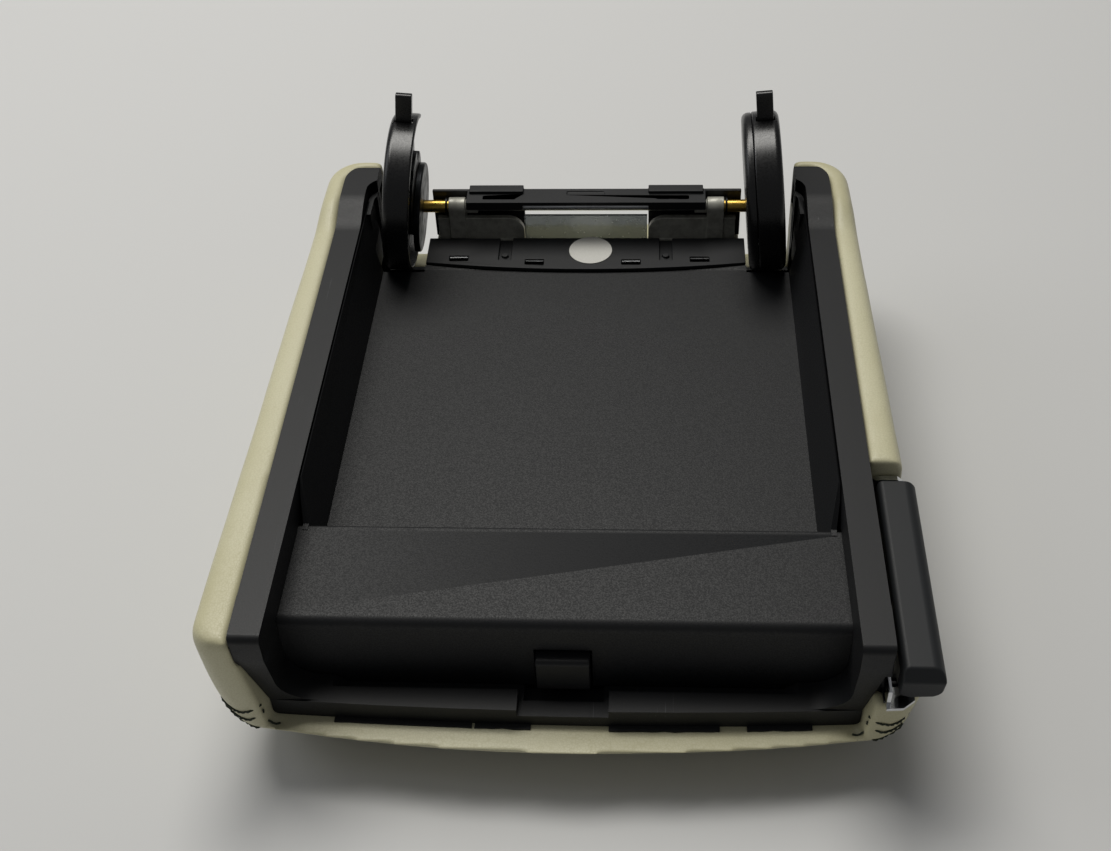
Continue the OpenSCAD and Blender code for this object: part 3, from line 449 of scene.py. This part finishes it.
@dataclass(frozen=True)
class Metal:
    """A metal part, told apart by how its surface was made.

    Attributes:
        name: Material name.
        colour: Reflection colour.
        dull: Colour in its duller patches.
        rough: Roughness at the least and most.
        surface: How the surface was made.
        bare: Share of bare metal; the rest is dull oxide.
    """

    name: str
    colour: str
    dull: str
    rough: tuple[float, float]
    surface: Surface
    bare: float = 1.0

    def build(self) -> bpy.types.Material:
        """Makes the material."""
        material = bpy.data.materials.new(self.name)
        material.use_nodes = True
        tree = material.node_tree
        shader = tree.nodes["Principled BSDF"]
        shader.inputs["Metallic"].default_value = self.bare
        place = add_node(tree, "ShaderNodeTexCoord").outputs["Object"]
        # Skin of a die casting flows in 5 mm patches; brushing runs along X; plating clouds over 6 mm
        scales = {
            Surface.CAST: (220.0, 220.0, 220.0),
            Surface.BRUSHED: (60.0, 2600.0, 2600.0),
            Surface.PLATED: (160.0, 160.0, 160.0),
        }[self.surface]
        spread = add_node(tree, "ShaderNodeMapping", {"Scale": scales}, {"Vector": place})
        pattern = add_node(
            tree,
            "ShaderNodeTexNoise",
            {"Scale": 1.0, "Detail": 4.0, "Roughness": 0.6},
            {"Vector": spread.outputs[0]},
        )
        share = ramp(tree, pattern.outputs["Fac"], 0.35, 0.68, 0.0, 1.0)
        tree.links.new(
            blend_colour(tree, share, linear(self.colour), linear(self.dull)), shader.inputs["Base Color"]
        )
        tree.links.new(ramp(tree, share, 0.0, 1.0, self.rough[0], self.rough[1]), shader.inputs["Roughness"])
        depth = {Surface.CAST: 0.06, Surface.BRUSHED: 0.01, Surface.PLATED: 0.006}[self.surface]
        bump = add_node(
            tree,
            "ShaderNodeBump",
            {"Strength": 0.5, "Distance": depth * MM},
            {"Height": pattern.outputs["Fac"]},
        )
        tree.links.new(bump.outputs[0], shader.inputs["Normal"])
        return material


@dataclass(frozen=True)
class ClearPlastic:
    """Clear polycarbonate strip, slightly hazy from handling.

    Attributes:
        name: Material name.
        colour: Tint.
    """

    name: str
    colour: str

    def build(self) -> bpy.types.Material:
        """Makes the material."""
        material = bpy.data.materials.new(self.name)
        material.use_nodes = True
        tree = material.node_tree
        shader = tree.nodes["Principled BSDF"]
        shader.inputs["IOR"].default_value = 1.58
        shader.inputs["Transmission Weight"].default_value = 0.6
        shader.inputs["Base Color"].default_value = linear(self.colour)
        place = add_node(tree, "ShaderNodeTexCoord").outputs["Object"]
        haze = add_node(tree, "ShaderNodeTexNoise", {"Scale": 300.0, "Detail": 3.0}, {"Vector": place})
        tree.links.new(ramp(tree, haze.outputs["Fac"], 0.4, 0.7, 0.06, 0.3), shader.inputs["Roughness"])
        return material


@dataclass(frozen=True)
class FineFibre:
    """Paper, thread, foam tape or foam: a matt body with fine fibres or cells.

    Attributes:
        name: Material name.
        colour: Body colour.
        second: Colour between the fibres.
        fibre_mm: Size of the fibres or cells.
        depth_mm: Depth of the relief.
        rough: Roughness.
    """

    name: str
    colour: str
    second: str
    fibre_mm: float
    depth_mm: float
    rough: float

    def build(self) -> bpy.types.Material:
        """Makes the material."""
        material = bpy.data.materials.new(self.name)
        material.use_nodes = True
        tree = material.node_tree
        shader = tree.nodes["Principled BSDF"]
        shader.inputs["Roughness"].default_value = self.rough
        place = add_node(tree, "ShaderNodeTexCoord").outputs["Object"]
        fibre = add_node(
            tree,
            "ShaderNodeTexNoise",
            {"Scale": 1000 / self.fibre_mm, "Detail": 3.0, "Roughness": 0.65},
            {"Vector": place}
        ).outputs["Fac"]
        share = ramp(tree, fibre, 0.4, 0.65, 0.0, 1.0)
        tree.links.new(
            blend_colour(tree, share, linear(self.colour), linear(self.second)), shader.inputs["Base Color"]
        )
        bump = add_node(
            tree, "ShaderNodeBump", {"Strength": 0.6, "Distance": self.depth_mm * MM}, {"Height": fibre}
        )
        tree.links.new(bump.outputs[0], shader.inputs["Normal"])
        return material


@dataclass
class Finishes:
    """Every material of the lid, made once."""

    # Cream upholstery leather: satin, pebbled, yellowed
    leather: bpy.types.Material = field(
        default_factory=lambda: PaintedLeather(
            "cream_leather", "#c4c0a2", "#bab593", "#8f9c74", 1.1, (0.42, 0.6)
        ).build()
    )
    # Tub panel: coarse speckled grain that glitters under a broad light
    grained: bpy.types.Material = field(
        default_factory=lambda: MouldedPlastic(
            "grained_abs", "#101113", "#191b1d", 0.6, 0.08, (0.46, 0.66), 0.5
        ).build()
    )
    # Rim and lever: finer grain, handled more, with scratches along the rails
    satin: bpy.types.Material = field(
        default_factory=lambda: MouldedPlastic(
            "satin_abs", "#0e0f11", "#1b1d20", 0.4, 0.03, (0.42, 0.58), 0.7, 0.3
        ).build()
    )
    # Soft-touch handle: even and a little greyer
    handle: bpy.types.Material = field(
        default_factory=lambda: MouldedPlastic(
            "soft_touch_abs", "#1d1f21", "#2b2e31", 0.3, 0.02, (0.48, 0.6), 0.4
        ).build()
    )
    # Hinge plate and bar: flat satin
    plate: bpy.types.Material = field(
        default_factory=lambda: MouldedPlastic(
            "flat_abs", "#121315", "#1f2123", 0.4, 0.02, (0.45, 0.6), 0.8
        ).build()
    )
    # Ear covers: polished mould, so they reflect in soft streaks
    gloss: bpy.types.Material = field(
        default_factory=lambda: MouldedPlastic(
            "polished_abs", "#060607", "#0e1011", 0.9, 0.002, (0.26, 0.34), 0.3, 0.0, 0.5
        ).build()
    )
    cast: bpy.types.Material = field(
        default_factory=lambda: Metal(
            "die_cast_zinc", "#a9a89f", "#8d8c83", (0.42, 0.58), Surface.CAST, 0.35
        ).build()
    )
    steel: bpy.types.Material = field(
        default_factory=lambda: Metal(
            "ground_steel", "#c9cbcd", "#a9abad", (0.16, 0.34), Surface.BRUSHED
        ).build()
    )
    dark_steel: bpy.types.Material = field(
        default_factory=lambda: Metal(
            "black_oxide_steel", "#2a2b2d", "#1b1c1d", (0.35, 0.5), Surface.PLATED
        ).build()
    )
    # Yellow passivated zinc plate
    passivated: bpy.types.Material = field(
        default_factory=lambda: Metal(
            "yellow_zinc_plate", "#c8a750", "#a98d4c", (0.25, 0.42), Surface.PLATED
        ).build()
    )
    chrome: bpy.types.Material = field(
        default_factory=lambda: Metal(
            "chrome_plate", "#dfe1e3", "#cfd1d3", (0.06, 0.12), Surface.PLATED
        ).build()
    )
    clear: bpy.types.Material = field(
        default_factory=lambda: ClearPlastic("clear_polycarbonate", "#a3a8a6").build()
    )
    paper: bpy.types.Material = field(
        default_factory=lambda: FineFibre("label_paper", "#c3c2bc", "#b9b8b1", 0.3, 0.01, 0.6).build()
    )
    thread: bpy.types.Material = field(
        default_factory=lambda: FineFibre("sewing_thread", "#2c3426", "#1c2219", 0.25, 0.05, 0.8).build()
    )
    tape: bpy.types.Material = field(
        default_factory=lambda: FineFibre("foam_tape", "#121314", "#060607", 0.5, 0.1, 0.85).build()
    )


# ------------------------------------------------------------- piece builders


@dataclass
class Maker:
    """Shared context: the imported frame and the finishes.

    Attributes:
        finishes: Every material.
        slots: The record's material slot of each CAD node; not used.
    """

    frame: dict
    finishes: Finishes
    slots: dict[str, str]

    def node(self, name: str) -> bpy.types.Object:
        """The object of one CAD node."""
        return self.frame["nodes"][name]

    def keep(self, material: bpy.types.Material, *names: str) -> None:
        """Gives CAD nodes whose shape is right their finish."""
        for name in names:
            part = self.node(name)
            part.data.materials.clear()
            part.data.materials.append(material)
            log.info("kept %s with %s", name, material.name)

    def inside(self, piece: bpy.types.Object, name: str, slack: float = 0.05) -> bool:
        """Whether a piece stays within its CAD node's box, with a slack in mm."""
        low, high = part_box(name)
        spare = slack * MM
        return all(
            low[i] - spare <= v.co[i] <= high[i] + spare for v in piece.data.vertices for i in range(3)
        )

    def soften(
        self,
        name: str,
        body: str,
        material: bpy.types.Material,
        radius: float,
        crisp: float = 32.0,
        steps: int = 2,
    ) -> bpy.types.Object:
        """Copies a CAD node and rounds its edges as the mould does.

        Args:
            name: The CAD node.
            body: The body that it rides on.
            material: Its finish.
            radius: Edge radius in mm.
            crisp: Edges sharper than this many degrees are rounded.
            steps: Segments of the rounding.

        Returns:
            The new piece, which replaces the node.
        """
        mesh = bmesh.new()
        mesh.from_mesh(self.node(name).data)
        bmesh.ops.remove_doubles(mesh, verts=mesh.verts, dist=0.002 * MM)
        bmesh.ops.dissolve_limit(mesh, angle_limit=math.radians(0.4), verts=mesh.verts, edges=mesh.edges)
        data = bpy.data.meshes.new(name + "_moulded")
        mesh.to_mesh(data)
        mesh.free()
        # Where full roundings would cross and leave the part's box, they stop where they meet
        for clamp in (False, True):
            piece = new_piece(name + "_moulded", data.copy())
            bevel = piece.modifiers.new("edges", "BEVEL")
            bevel.width = radius * MM
            bevel.segments = steps
            bevel.limit_method = "ANGLE"
            bevel.angle_limit = math.radians(crisp)
            bevel.use_clamp_overlap = clamp
            bevel.miter_outer = "MITER_ARC"
            settle(piece)
            if clamp or self.inside(piece, name):
                break
            bpy.data.objects.remove(piece)
        shade(piece, 50)
        piece.modifiers.new("weights", "WEIGHTED_NORMAL").keep_sharp = True
        settle(piece)
        dress(piece, material)
        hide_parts(name)
        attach(piece, body)
        log.info("moulded %s", piece.name)
        return piece


# Sewn tucks of the right front corner in mm, each a path over the leather; the left corner mirrors them
CORNER_TUCKS: tuple[tuple[Vector, ...], ...] = (
    (
        Vector((112.5, -139.5, 40.0)),
        Vector((117.5, -139.0, 37.3)),
        Vector((121.5, -138.0, 36.8)),
        Vector((126.0, -134.0, 38.5)),
    ),
    (
        Vector((111.0, -139.5, 36.5)),
        Vector((115.5, -139.0, 33.0)),
        Vector((120.0, -138.0, 32.8)),
        Vector((125.0, -134.0, 36.0)),
    ),
    (
        Vector((106.5, -137.0, 24.7)),
        Vector((112.5, -138.5, 28.6)),
        Vector((118.0, -137.5, 27.2)),
        Vector((123.5, -133.0, 29.8)),
    ),
)


# Room that the cushion leaves, in mm on the frame's axes
# Heights and depths clear of everything above, behind and in front
ABOVE, BEHIND, FRONT_CLEAR = 120.0, 210.0, -190.0
# The seal ledge's half width and underside
LEDGE_HALF, LEDGE_LOW = 109.8, 24.7
# Where the front posts start to widen, where they reach the rim, their top and their back
POST_KNEE, POST_SHOULDER, POST_CLEAR, POST_BACK = 34.0, 80.0, 110.0, -112.2
# The height that the rim sits on
RIM_SEAT = 63.7
# The shell's half widths, underside, turned edge and ends
SHELL_HALF, SHELL_FOOT, SHELL_LOW, SHELL_TURN = 111.8, 101.5, 12.0, 22.3
SHELL_FRONT, SHELL_REAR = -120.0, 132.2


def mirrored(half: list[tuple[float, float]]) -> list[tuple[float, float]]:
    """Closes the right half of an outline with its mirror image on the left."""
    left = [(-x, y) for x, y in half]
    return [left[0], *half, *reversed(left[1:])]


def distance_to_path(place: Vector, path: tuple[Vector, ...]) -> float:
    """Shortest distance from a place to a path of straight pieces, in mm."""
    best = 1e9
    for first, second in zip(path, path[1:]):
        along = second - first
        share = min(1.0, max(0.0, (place - first).dot(along) / along.length_squared))
        best = min(best, (place - first - along * share).length)
    return best


@dataclass
class Cushion:
    """Leather-covered foam cushion under the rim.

    Attributes:
        maker: Frame and finishes.
        half_width: Half width at the widest line.
        crease_half: Half width of the rim.
        front_set: How far the foremost line lies behind the front crease.
        under_run: How far the front draws back under it.
        rear_out: How far it stands out past the rear end.
        widest_z: Height of the widest line.
        front_z: Height of the foremost line.
        rest_inset: How far in the flat rest patch starts.
        corner: Corner radius in plan at the widest line.
        rear_corner: Rear corner radius in plan.
        bow: How far the front bows forward.
        taper: How far each side draws in at the rear.
        rest_curve: Exponent of the roll from the rest patch to the widest line.
        under_curve: Exponent of the front's roll under its foremost line.
        lap: How far the leather stands out past the rim at the top.
        bow_fade: How fast the front's bow fades along the sides.
        gap: Room left round what it holds.
        ring_count: Levels between the rest patch and the top.
        voxel: Grid of the remesh.
        smoothing: Rounds of smoothing after the remesh.
        lump: Height of the foam's slight lumps.
        tuck_depth: Depth of the sewn tucks.
        tuck_width: How far a tuck fades out to its sides.
        step_in: How far before the rear end the rim's step starts.
        step_run: Length of that step.
        step_lift: How far the upper edge rises with that step.
        thread_radius: Radius of the sewing thread.
    """

    maker: Maker
    half_width: float = 131.5
    crease_half: float = 116.0
    front_set: float = 1.5
    under_run: float = 32.5
    rear_out: float = 7.0
    widest_z: float = 71.0
    front_z: float = 29.5
    rest_inset: float = 18.0
    corner: float = 9.0
    rear_corner: float = 14.0
    bow: float = 11.0
    taper: float = 6.5
    rest_curve: float = 3.3
    under_curve: float = 1.5
    lap: float = 0.6
    bow_fade: float = 6
    gap: float = 0.3
    ring_count: int = 40
    voxel: float = 1.3
    smoothing: int = 12
    lump: float = 0.3
    tuck_depth: float = 0.9
    tuck_width: float = 1.6
    step_in: float = 46
    step_run: float = 22
    step_lift: float = 5.0
    thread_radius: float = 0.42

    def outline(self, z: float, edge: int = 48, turn: int = 12) -> list[Vector]:
        """One level outline of the cushion.

        Args:
            z: Height in mm.
            edge: Steps along the front edge.
            turn: Steps of each corner.

        Returns:
            Points in metres, anticlockwise from the front left.
        """
        low = self.rest_inset * max(0.0, 1 - z / self.widest_z) ** self.rest_curve
        u = min(1.0, max(0.0, (z - self.widest_z) / (RIM_TOP - self.widest_z)))
        top_in = 1 - (1 - u**3) ** (1 / 3)
        over = self.half_width - self.crease_half
        w = self.half_width - low - (over - self.lap) * top_in
        rise = max(0.0, z - self.front_z) / (RIM_TOP - self.front_z)
        under = self.under_run * max(0.0, 1 - z / self.front_z) ** self.under_curve
        f = -HALF_LEN + self.front_set + under - (self.front_set - 1) * rise**2
        r = HALF_LEN + self.rear_out - low - (self.rear_out - 1) * top_in
        c = self.corner * (2 - min(1.0, z / self.widest_z))
        k = self.rear_corner
        flat = [(-(w - c) + 2 * (w - c) * i / edge, f) for i in range(edge + 1)]
        arcs = [
            (w - c, f + c, c, -90, range(1, turn + 1)),
            (w - k, r - k, k, 0, range(turn + 1)),
            (-w + k, r - k, k, 90, range(turn + 1)),
            (-w + c, f + c, c, 180, range(turn)),
        ]
        for cx, cy, radius, start, steps in arcs:
            for i in steps:
                a = math.radians(start + 90 * i / turn)
                flat.append((cx + radius * math.cos(a), cy + radius * math.sin(a)))
        points = []
        for x, y in flat:
            t = (y - f) / (r - f)
            b = max(0.0, 1 - abs(x) / w)
            y -= self.bow * (1 - (1 - b) ** 2) * max(0.0, 1 - self.bow_fade * t)
            points.append(Vector((x * (1 - self.taper / self.crease_half * t), y, z)) * MM)
        return points

    def solid(self) -> bpy.types.Object:
        """The full cushion before anything is carved out of it."""
        count = self.ring_count
        levels = [0.5 * (RIM_TOP - 1) * (1 - math.cos(math.pi * k / count)) for k in range(count + 1)]
        mesh = bmesh.new()
        rings = [[mesh.verts.new(p) for p in self.outline(z)] for z in levels]
        around = len(rings[0])
        for a, b in zip(rings, rings[1:]):
            for j in range(around):
                m = (j + 1) % around
                mesh.faces.new((a[j], a[m], b[m], b[j]))
        mesh.faces.new(list(reversed(rings[0])))
        mesh.faces.new(rings[-1])
        bmesh.ops.recalc_face_normals(mesh, faces=mesh.faces)
        data = bpy.data.meshes.new("leather_cushion")
        mesh.to_mesh(data)
        mesh.free()
        return new_piece("leather_cushion", data)

    def carve(self, piece: bpy.types.Object) -> None:
        """Takes out the room of the rim, the shell, the hinge gap and the lever."""
        rim = self.crease_half + self.gap
        front, rear = -HALF_LEN - self.gap, HALF_LEN + self.gap
        rim_plan = mirrored([(rim, front), (rim - 2, rear - 10), (rim - 8, rear)])
        post = mirrored(
            [(LEDGE_HALF, LEDGE_LOW), (LEDGE_HALF, POST_KNEE), (rim, POST_SHOULDER), (rim, POST_CLEAR)]
        )
        shell = mirrored([(SHELL_FOOT, SHELL_LOW), (SHELL_HALF, SHELL_TURN), (SHELL_HALF, ABOVE)])
        cutters = [
            prism("cut_rim", rim_plan, "z", RIM_SEAT, ABOVE),
            prism("cut_front", post, "y", FRONT_CLEAR, POST_BACK),
            box_between("cut_middle", (-74.8, 101.0, 45.7), (74.8, BEHIND, ABOVE)),
            box_between("cut_left", (-98.8, 100.5, 29.7), (-74.2, BEHIND, ABOVE)),
            box_between("cut_right", (74.2, 100.5, 29.7), (98.8, BEHIND, ABOVE)),
            prism("cut_shell", shell, "y", SHELL_FRONT, SHELL_REAR),
            box_between("cut_trough", (112.7, -135.3, 34.2), (126.4, -49.7, ABOVE)),
            box_between("cut_handle", (112.7, -160.0, 49.5), (180.0, -49.7, ABOVE)),
        ]
        for cutter in cutters:
            cut = piece.modifiers.new(cutter.name, "BOOLEAN")
            cut.operation = "DIFFERENCE"
            cut.solver = "EXACT"
            cut.object = cutter
        settle(piece)
        for cutter in cutters:
            bpy.data.objects.remove(cutter)

    def relax(self, piece: bpy.types.Object) -> None:
        """Turns the carved solid into one soft skin with rolled edges."""
        remesh = piece.modifiers.new("skin", "REMESH")
        remesh.mode = "VOXEL"
        remesh.voxel_size = self.voxel * MM
        smooth = piece.modifiers.new("roll", "SMOOTH")
        smooth.factor = 0.5
        smooth.iterations = self.smoothing
        settle(piece)

    def press(self, piece: bpy.types.Object) -> None:
        """Moves the skin by hand: lumps, tucks at the front corners, the rear lift and a flat rest."""
        mesh = piece.data
        normals = [vertex.normal.copy() for vertex in mesh.vertices]
        for vertex, n in zip(mesh.vertices, normals):
            p = vertex.co
            lump = noise.noise(Vector((p.x * 14, p.y * 14, p.z * 14))) * self.lump
            place = Vector((abs(p.x) / MM, p.y / MM, p.z / MM))
            tuck = 0.0
            for seam in CORNER_TUCKS:
                tuck = max(tuck, math.exp(-((distance_to_path(place, seam) / self.tuck_width) ** 2)))
            # The upper edge follows the rim's step at the rear
            climb = min(1.0, max(0.0, (place.y - (HALF_LEN - self.step_in)) / self.step_run))
            rise = max(0.0, place.z - self.widest_z)
            swell = self.step_lift / 2 * (1 - math.cos(math.pi * climb))
            lift = swell * rise / (RIM_TOP - self.widest_z)
            p += n * (lump - self.tuck_depth * tuck) * MM + Vector((0.0, 0.0, lift * MM))
            if p.z < 0.3 * MM:
                p.z = 0.0
        mesh.update()

    def stitches(self, piece: bpy.types.Object) -> None:
        """Lays a sewn thread in each tuck of both front corners."""
        tree = BVHTree.FromPolygons(
            [v.co for v in piece.data.vertices], [list(f.vertices) for f in piece.data.polygons]
        )
        steps = 9
        for side, label in ((-1, "left"), (1, "right")):
            for number, seam in enumerate(CORNER_TUCKS):
                path = []
                for first, second in zip(seam, seam[1:]):
                    for i in range(steps):
                        point = first.lerp(second, i / steps)
                        hit, normal, _, _ = tree.find_nearest(Vector((side * point.x, point.y, point.z)) * MM)
                        ripple = 0.28 + 0.22 * math.sin(len(path) * 1.9)
                        path.append(hit + normal * ripple * MM)
                thread = tube(f"thread_{label}_{number + 1}", path, self.thread_radius, 6)
                dress(thread, self.maker.finishes.thread)
                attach(thread, "lid")

    def build(self) -> bpy.types.Object:
        """Builds, carves and dresses the cushion.

        Returns:
            The leather cushion.
        """
        piece = self.solid()
        self.carve(piece)
        self.relax(piece)
        self.press(piece)
        self.stitches(piece)
        shade(piece, 60)
        dress(piece, self.maker.finishes.leather)
        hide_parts("leather_cover", "foam_pad")
        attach(piece, "lid")
        log.info("cushion with %d faces", len(piece.data.polygons))
        return piece


@dataclass
class RimAndTub:
    """Hard parts round and inside the lid.

    Attributes:
        maker: Frame and finishes.
        edge: Radius of the moulded edges.
        ledge_set: How far the ledge's edge lies behind the front end at the sides.
        ledge_bow: How far that edge bows forward in the middle.
        ledge_half: Half width of the ledge.
        tape_out: How far the foam tape stands out of the ledge.
        tape_wear: How far its edge is worn to and fro.
        tape_low: Height of its underside.
        tape_top: Height of its upper side.
    """

    maker: Maker
    edge: float = 0.6
    ledge_set: float = 7.0
    ledge_bow: float = 3.0
    ledge_half: float = 109.5
    tape_out: float = 1.2
    tape_wear: float = 0.4
    tape_low: float = 23.4
    tape_top: float = 25.4

    def build(self) -> None:
        """Rounds and dresses the rim, tub and shell."""
        finishes = self.maker.finishes
        self.maker.soften("rim_frame", "lid", finishes.satin, self.edge)
        self.maker.soften("tub_panel", "lid", finishes.grained, self.edge)
        self.tape()
        self.maker.keep(finishes.satin, "top_shell")
        self.maker.keep(finishes.steel, "panel_screws")

    def tape_edge(self, x: float) -> float:
        """Y of the tape's worn front edge at one X."""
        ledge = -HALF_LEN + self.ledge_set - self.ledge_bow * (1 - (x / self.ledge_half) ** 2)
        return ledge - self.tape_out - self.tape_wear * noise.noise(Vector((x * 0.2, 7.0, 0.0)))

    def tape(self) -> None:
        """Lays the black foam tape, in worn lengths, under the ledge's front edge."""
        steps = 10
        for number, (x0, x1) in enumerate(((-86.0, -34.0), (-33.0, -12.0), (17.0, 58.0), (68.0, 92.0))):
            xs = [x0 + (x1 - x0) * i / steps for i in range(steps + 1)]
            front = [(x, self.tape_edge(x)) for x in xs]
            back = [(x, -HALF_LEN + 10.0) for x in reversed(xs)]
            strip = prism(f"foam_tape_{number + 1}", front + back, "z", self.tape_low, self.tape_top)
            shade(strip, 30)
            dress(strip, self.maker.finishes.tape)
            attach(strip, "lid")


@dataclass
class HingeEnd:
    """Cover plate, bar, brackets, pins and both ears.

    Attributes:
        maker: Frame and finishes.
        edge: Radius of the moulded edges.
    """

    maker: Maker
    edge: float = 0.35

    def build(self) -> None:
        """Dresses everything at the hinge."""
        finishes = self.maker.finishes
        self.maker.soften("hinge_cover", "lid", finishes.plate, self.edge)
        self.maker.soften("rear_bar", "lid", finishes.plate, self.edge)
        for side in ("left", "right"):
            self.maker.soften(f"bracket_{side}", "lid", finishes.cast, 0.4)
            self.maker.keep(finishes.passivated, f"pin_{side}")
            self.maker.soften(f"ear_cover_{side}", f"ear_{side}", finishes.gloss, self.edge)
            self.maker.soften(f"ear_arm_{side}", f"ear_{side}", finishes.gloss, self.edge)
            self.maker.keep(finishes.dark_steel, f"spring_case_{side}", f"hub_disc_{side}")
        self.maker.keep(finishes.gloss, "ear_cap_right")
        self.maker.keep(finishes.paper, "round_label")
        self.maker.keep(finishes.clear, "clear_strip")
        self.maker.keep(finishes.steel, "torsion_bar", "bracket_screws", "cover_clips")
        self.maker.keep(finishes.dark_steel, "pin_clips")


@dataclass
class Latch:
    """Hook in the front wall and the linkage behind it.

    Attributes:
        maker: Frame and finishes.
    """

    maker: Maker

    def build(self) -> None:
        """Dresses the latch."""
        finishes = self.maker.finishes
        self.maker.soften("latch_hook", "hook", finishes.satin, 0.5)
        self.maker.keep(
            finishes.steel,
            "latch_bracket",
            "latch_pin",
            "latch_spring",
            "bell_crank",
            "crank_pin",
            "push_rod",
        )


@dataclass
class Release:
    """Side lever with its trough and chromed trims.

    Attributes:
        maker: Frame and finishes.
    """

    maker: Maker

    def build(self) -> None:
        """Dresses the lever."""
        finishes = self.maker.finishes
        self.maker.soften("release_lever", "lever", finishes.handle, 0.8)
        self.maker.soften("lever_housing", "lid", finishes.satin, 0.3)
        self.maker.keep(finishes.cast, "lever_core")
        self.maker.keep(finishes.steel, "lever_axle", "lever_spring")
        self.maker.keep(finishes.chrome, "lever_trim_rear", "lever_trim_front")


# ---------------------------------------------------------------------- stage


@dataclass
class Studio:
    """Pale table, soft light and the camera.

    Attributes:
        place: Camera position in metres.
        yaw: Turn of the view about Z, in radians.
        pitch: Downward tilt, in radians.
        roll: Turn about the line of sight, in radians.
        lens: Focal length in mm on a 36 mm sensor.
        table: Colour of the table.
        room: Colour of the room's light.
        ambient: Strength of the room's light.
    """

    place: Point = (0.03106, -0.45714, 0.49373)
    yaw: float = -0.0867718
    pitch: float = 0.7705866
    roll: float = -0.0530766
    lens: float = 48.605
    table: str = "#c9c9c8"
    room: str = "#e6e7e9"
    ambient: float = 0.17

    def camera(self) -> None:
        """Sets the camera."""
        forward = Vector((math.sin(self.yaw), math.cos(self.yaw), 0.0))
        right = Vector((math.cos(self.yaw), -math.sin(self.yaw), 0.0))
        up = Vector((0.0, 0.0, 1.0))
        sight = forward * math.cos(self.pitch) - up * math.sin(self.pitch)
        top = up * math.cos(self.pitch) + forward * math.sin(self.pitch)
        side = right * math.cos(self.roll) + top * math.sin(self.roll)
        head = top * math.cos(self.roll) - right * math.sin(self.roll)
        data = bpy.data.cameras.new("camera")
        data.lens = self.lens
        data.sensor_width = 36.0
        data.clip_start = 0.01
        camera = bpy.data.objects.new("camera", data)
        bpy.context.scene.collection.objects.link(camera)
        turn = Matrix((side, head, -sight)).transposed()
        camera.matrix_world = Matrix.Translation(self.place) @ turn.to_4x4()
        bpy.context.scene.camera = camera

    def floor(self) -> None:
        """Lays the table."""
        mesh = bmesh.new()
        bmesh.ops.create_grid(mesh, x_segments=8, y_segments=8, size=6.0)
        data = bpy.data.meshes.new("table")
        mesh.to_mesh(data)
        mesh.free()
        table = new_piece("table", data)
        material = bpy.data.materials.new("white_laminate")
        material.use_nodes = True
        shader = material.node_tree.nodes["Principled BSDF"]
        shader.inputs["Base Color"].default_value = linear(self.table)
        shader.inputs["Roughness"].default_value = 0.75
        dress(table, material)

    def lamp(
        self, name: str, place: Point, aim: Point, size: tuple[float, float], power: float, colour: str
    ) -> None:
        """Hangs one soft box.

        Args:
            name: Name of the lamp.
            place: Its position in metres.
            aim: The point that it faces.
            size: Width and depth in metres.
            power: Power in watts.
            colour: Colour of its light.
        """
        data = bpy.data.lights.new(name, "AREA")
        data.shape = "RECTANGLE"
        data.size, data.size_y = size
        data.energy = power
        data.color = linear(colour)[:3]
        light = bpy.data.objects.new(name, data)
        bpy.context.scene.collection.objects.link(light)
        light.location = place
        light.rotation_euler = (Vector(aim) - Vector(place)).to_track_quat("-Z", "Y").to_euler()

    def build(self) -> None:
        """Sets the camera, the table, the lamps and the plain world."""
        self.camera()
        self.floor()
        self.lamp("soft_top", (-0.4, 0.8, 1.9), (0.0, 0.0, 0.0), (1.5, 1.0), 37.0, "#fffdf8")
        self.lamp("soft_left", (-1.7, 0.3, 1.3), (0.0, 0.0, 0.05), (1.2, 1.2), 5.5, "#f7faff")
        world = bpy.data.worlds.new("plain_room")
        bpy.context.scene.world = world
        world.use_nodes = True
        sky = world.node_tree.nodes["Background"]
        sky.inputs["Color"].default_value = linear(self.room)
        sky.inputs["Strength"].default_value = self.ambient
        bpy.context.scene.view_settings.view_transform = "Standard"


def main() -> None:
    """Builds the dressed lid on its frame."""
    logging.basicConfig(level=logging.INFO, format="%(message)s")
    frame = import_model()
    Studio().build()
    slots = {part["node"]: part["material_slot"] for part in frame["record"]["subparts"]}
    maker = Maker(frame, Finishes(), slots)
    Cushion(maker).build()
    RimAndTub(maker).build()
    HingeEnd(maker).build()
    Latch(maker).build()
    Release(maker).build()


if __name__ == "__main__":
    main()
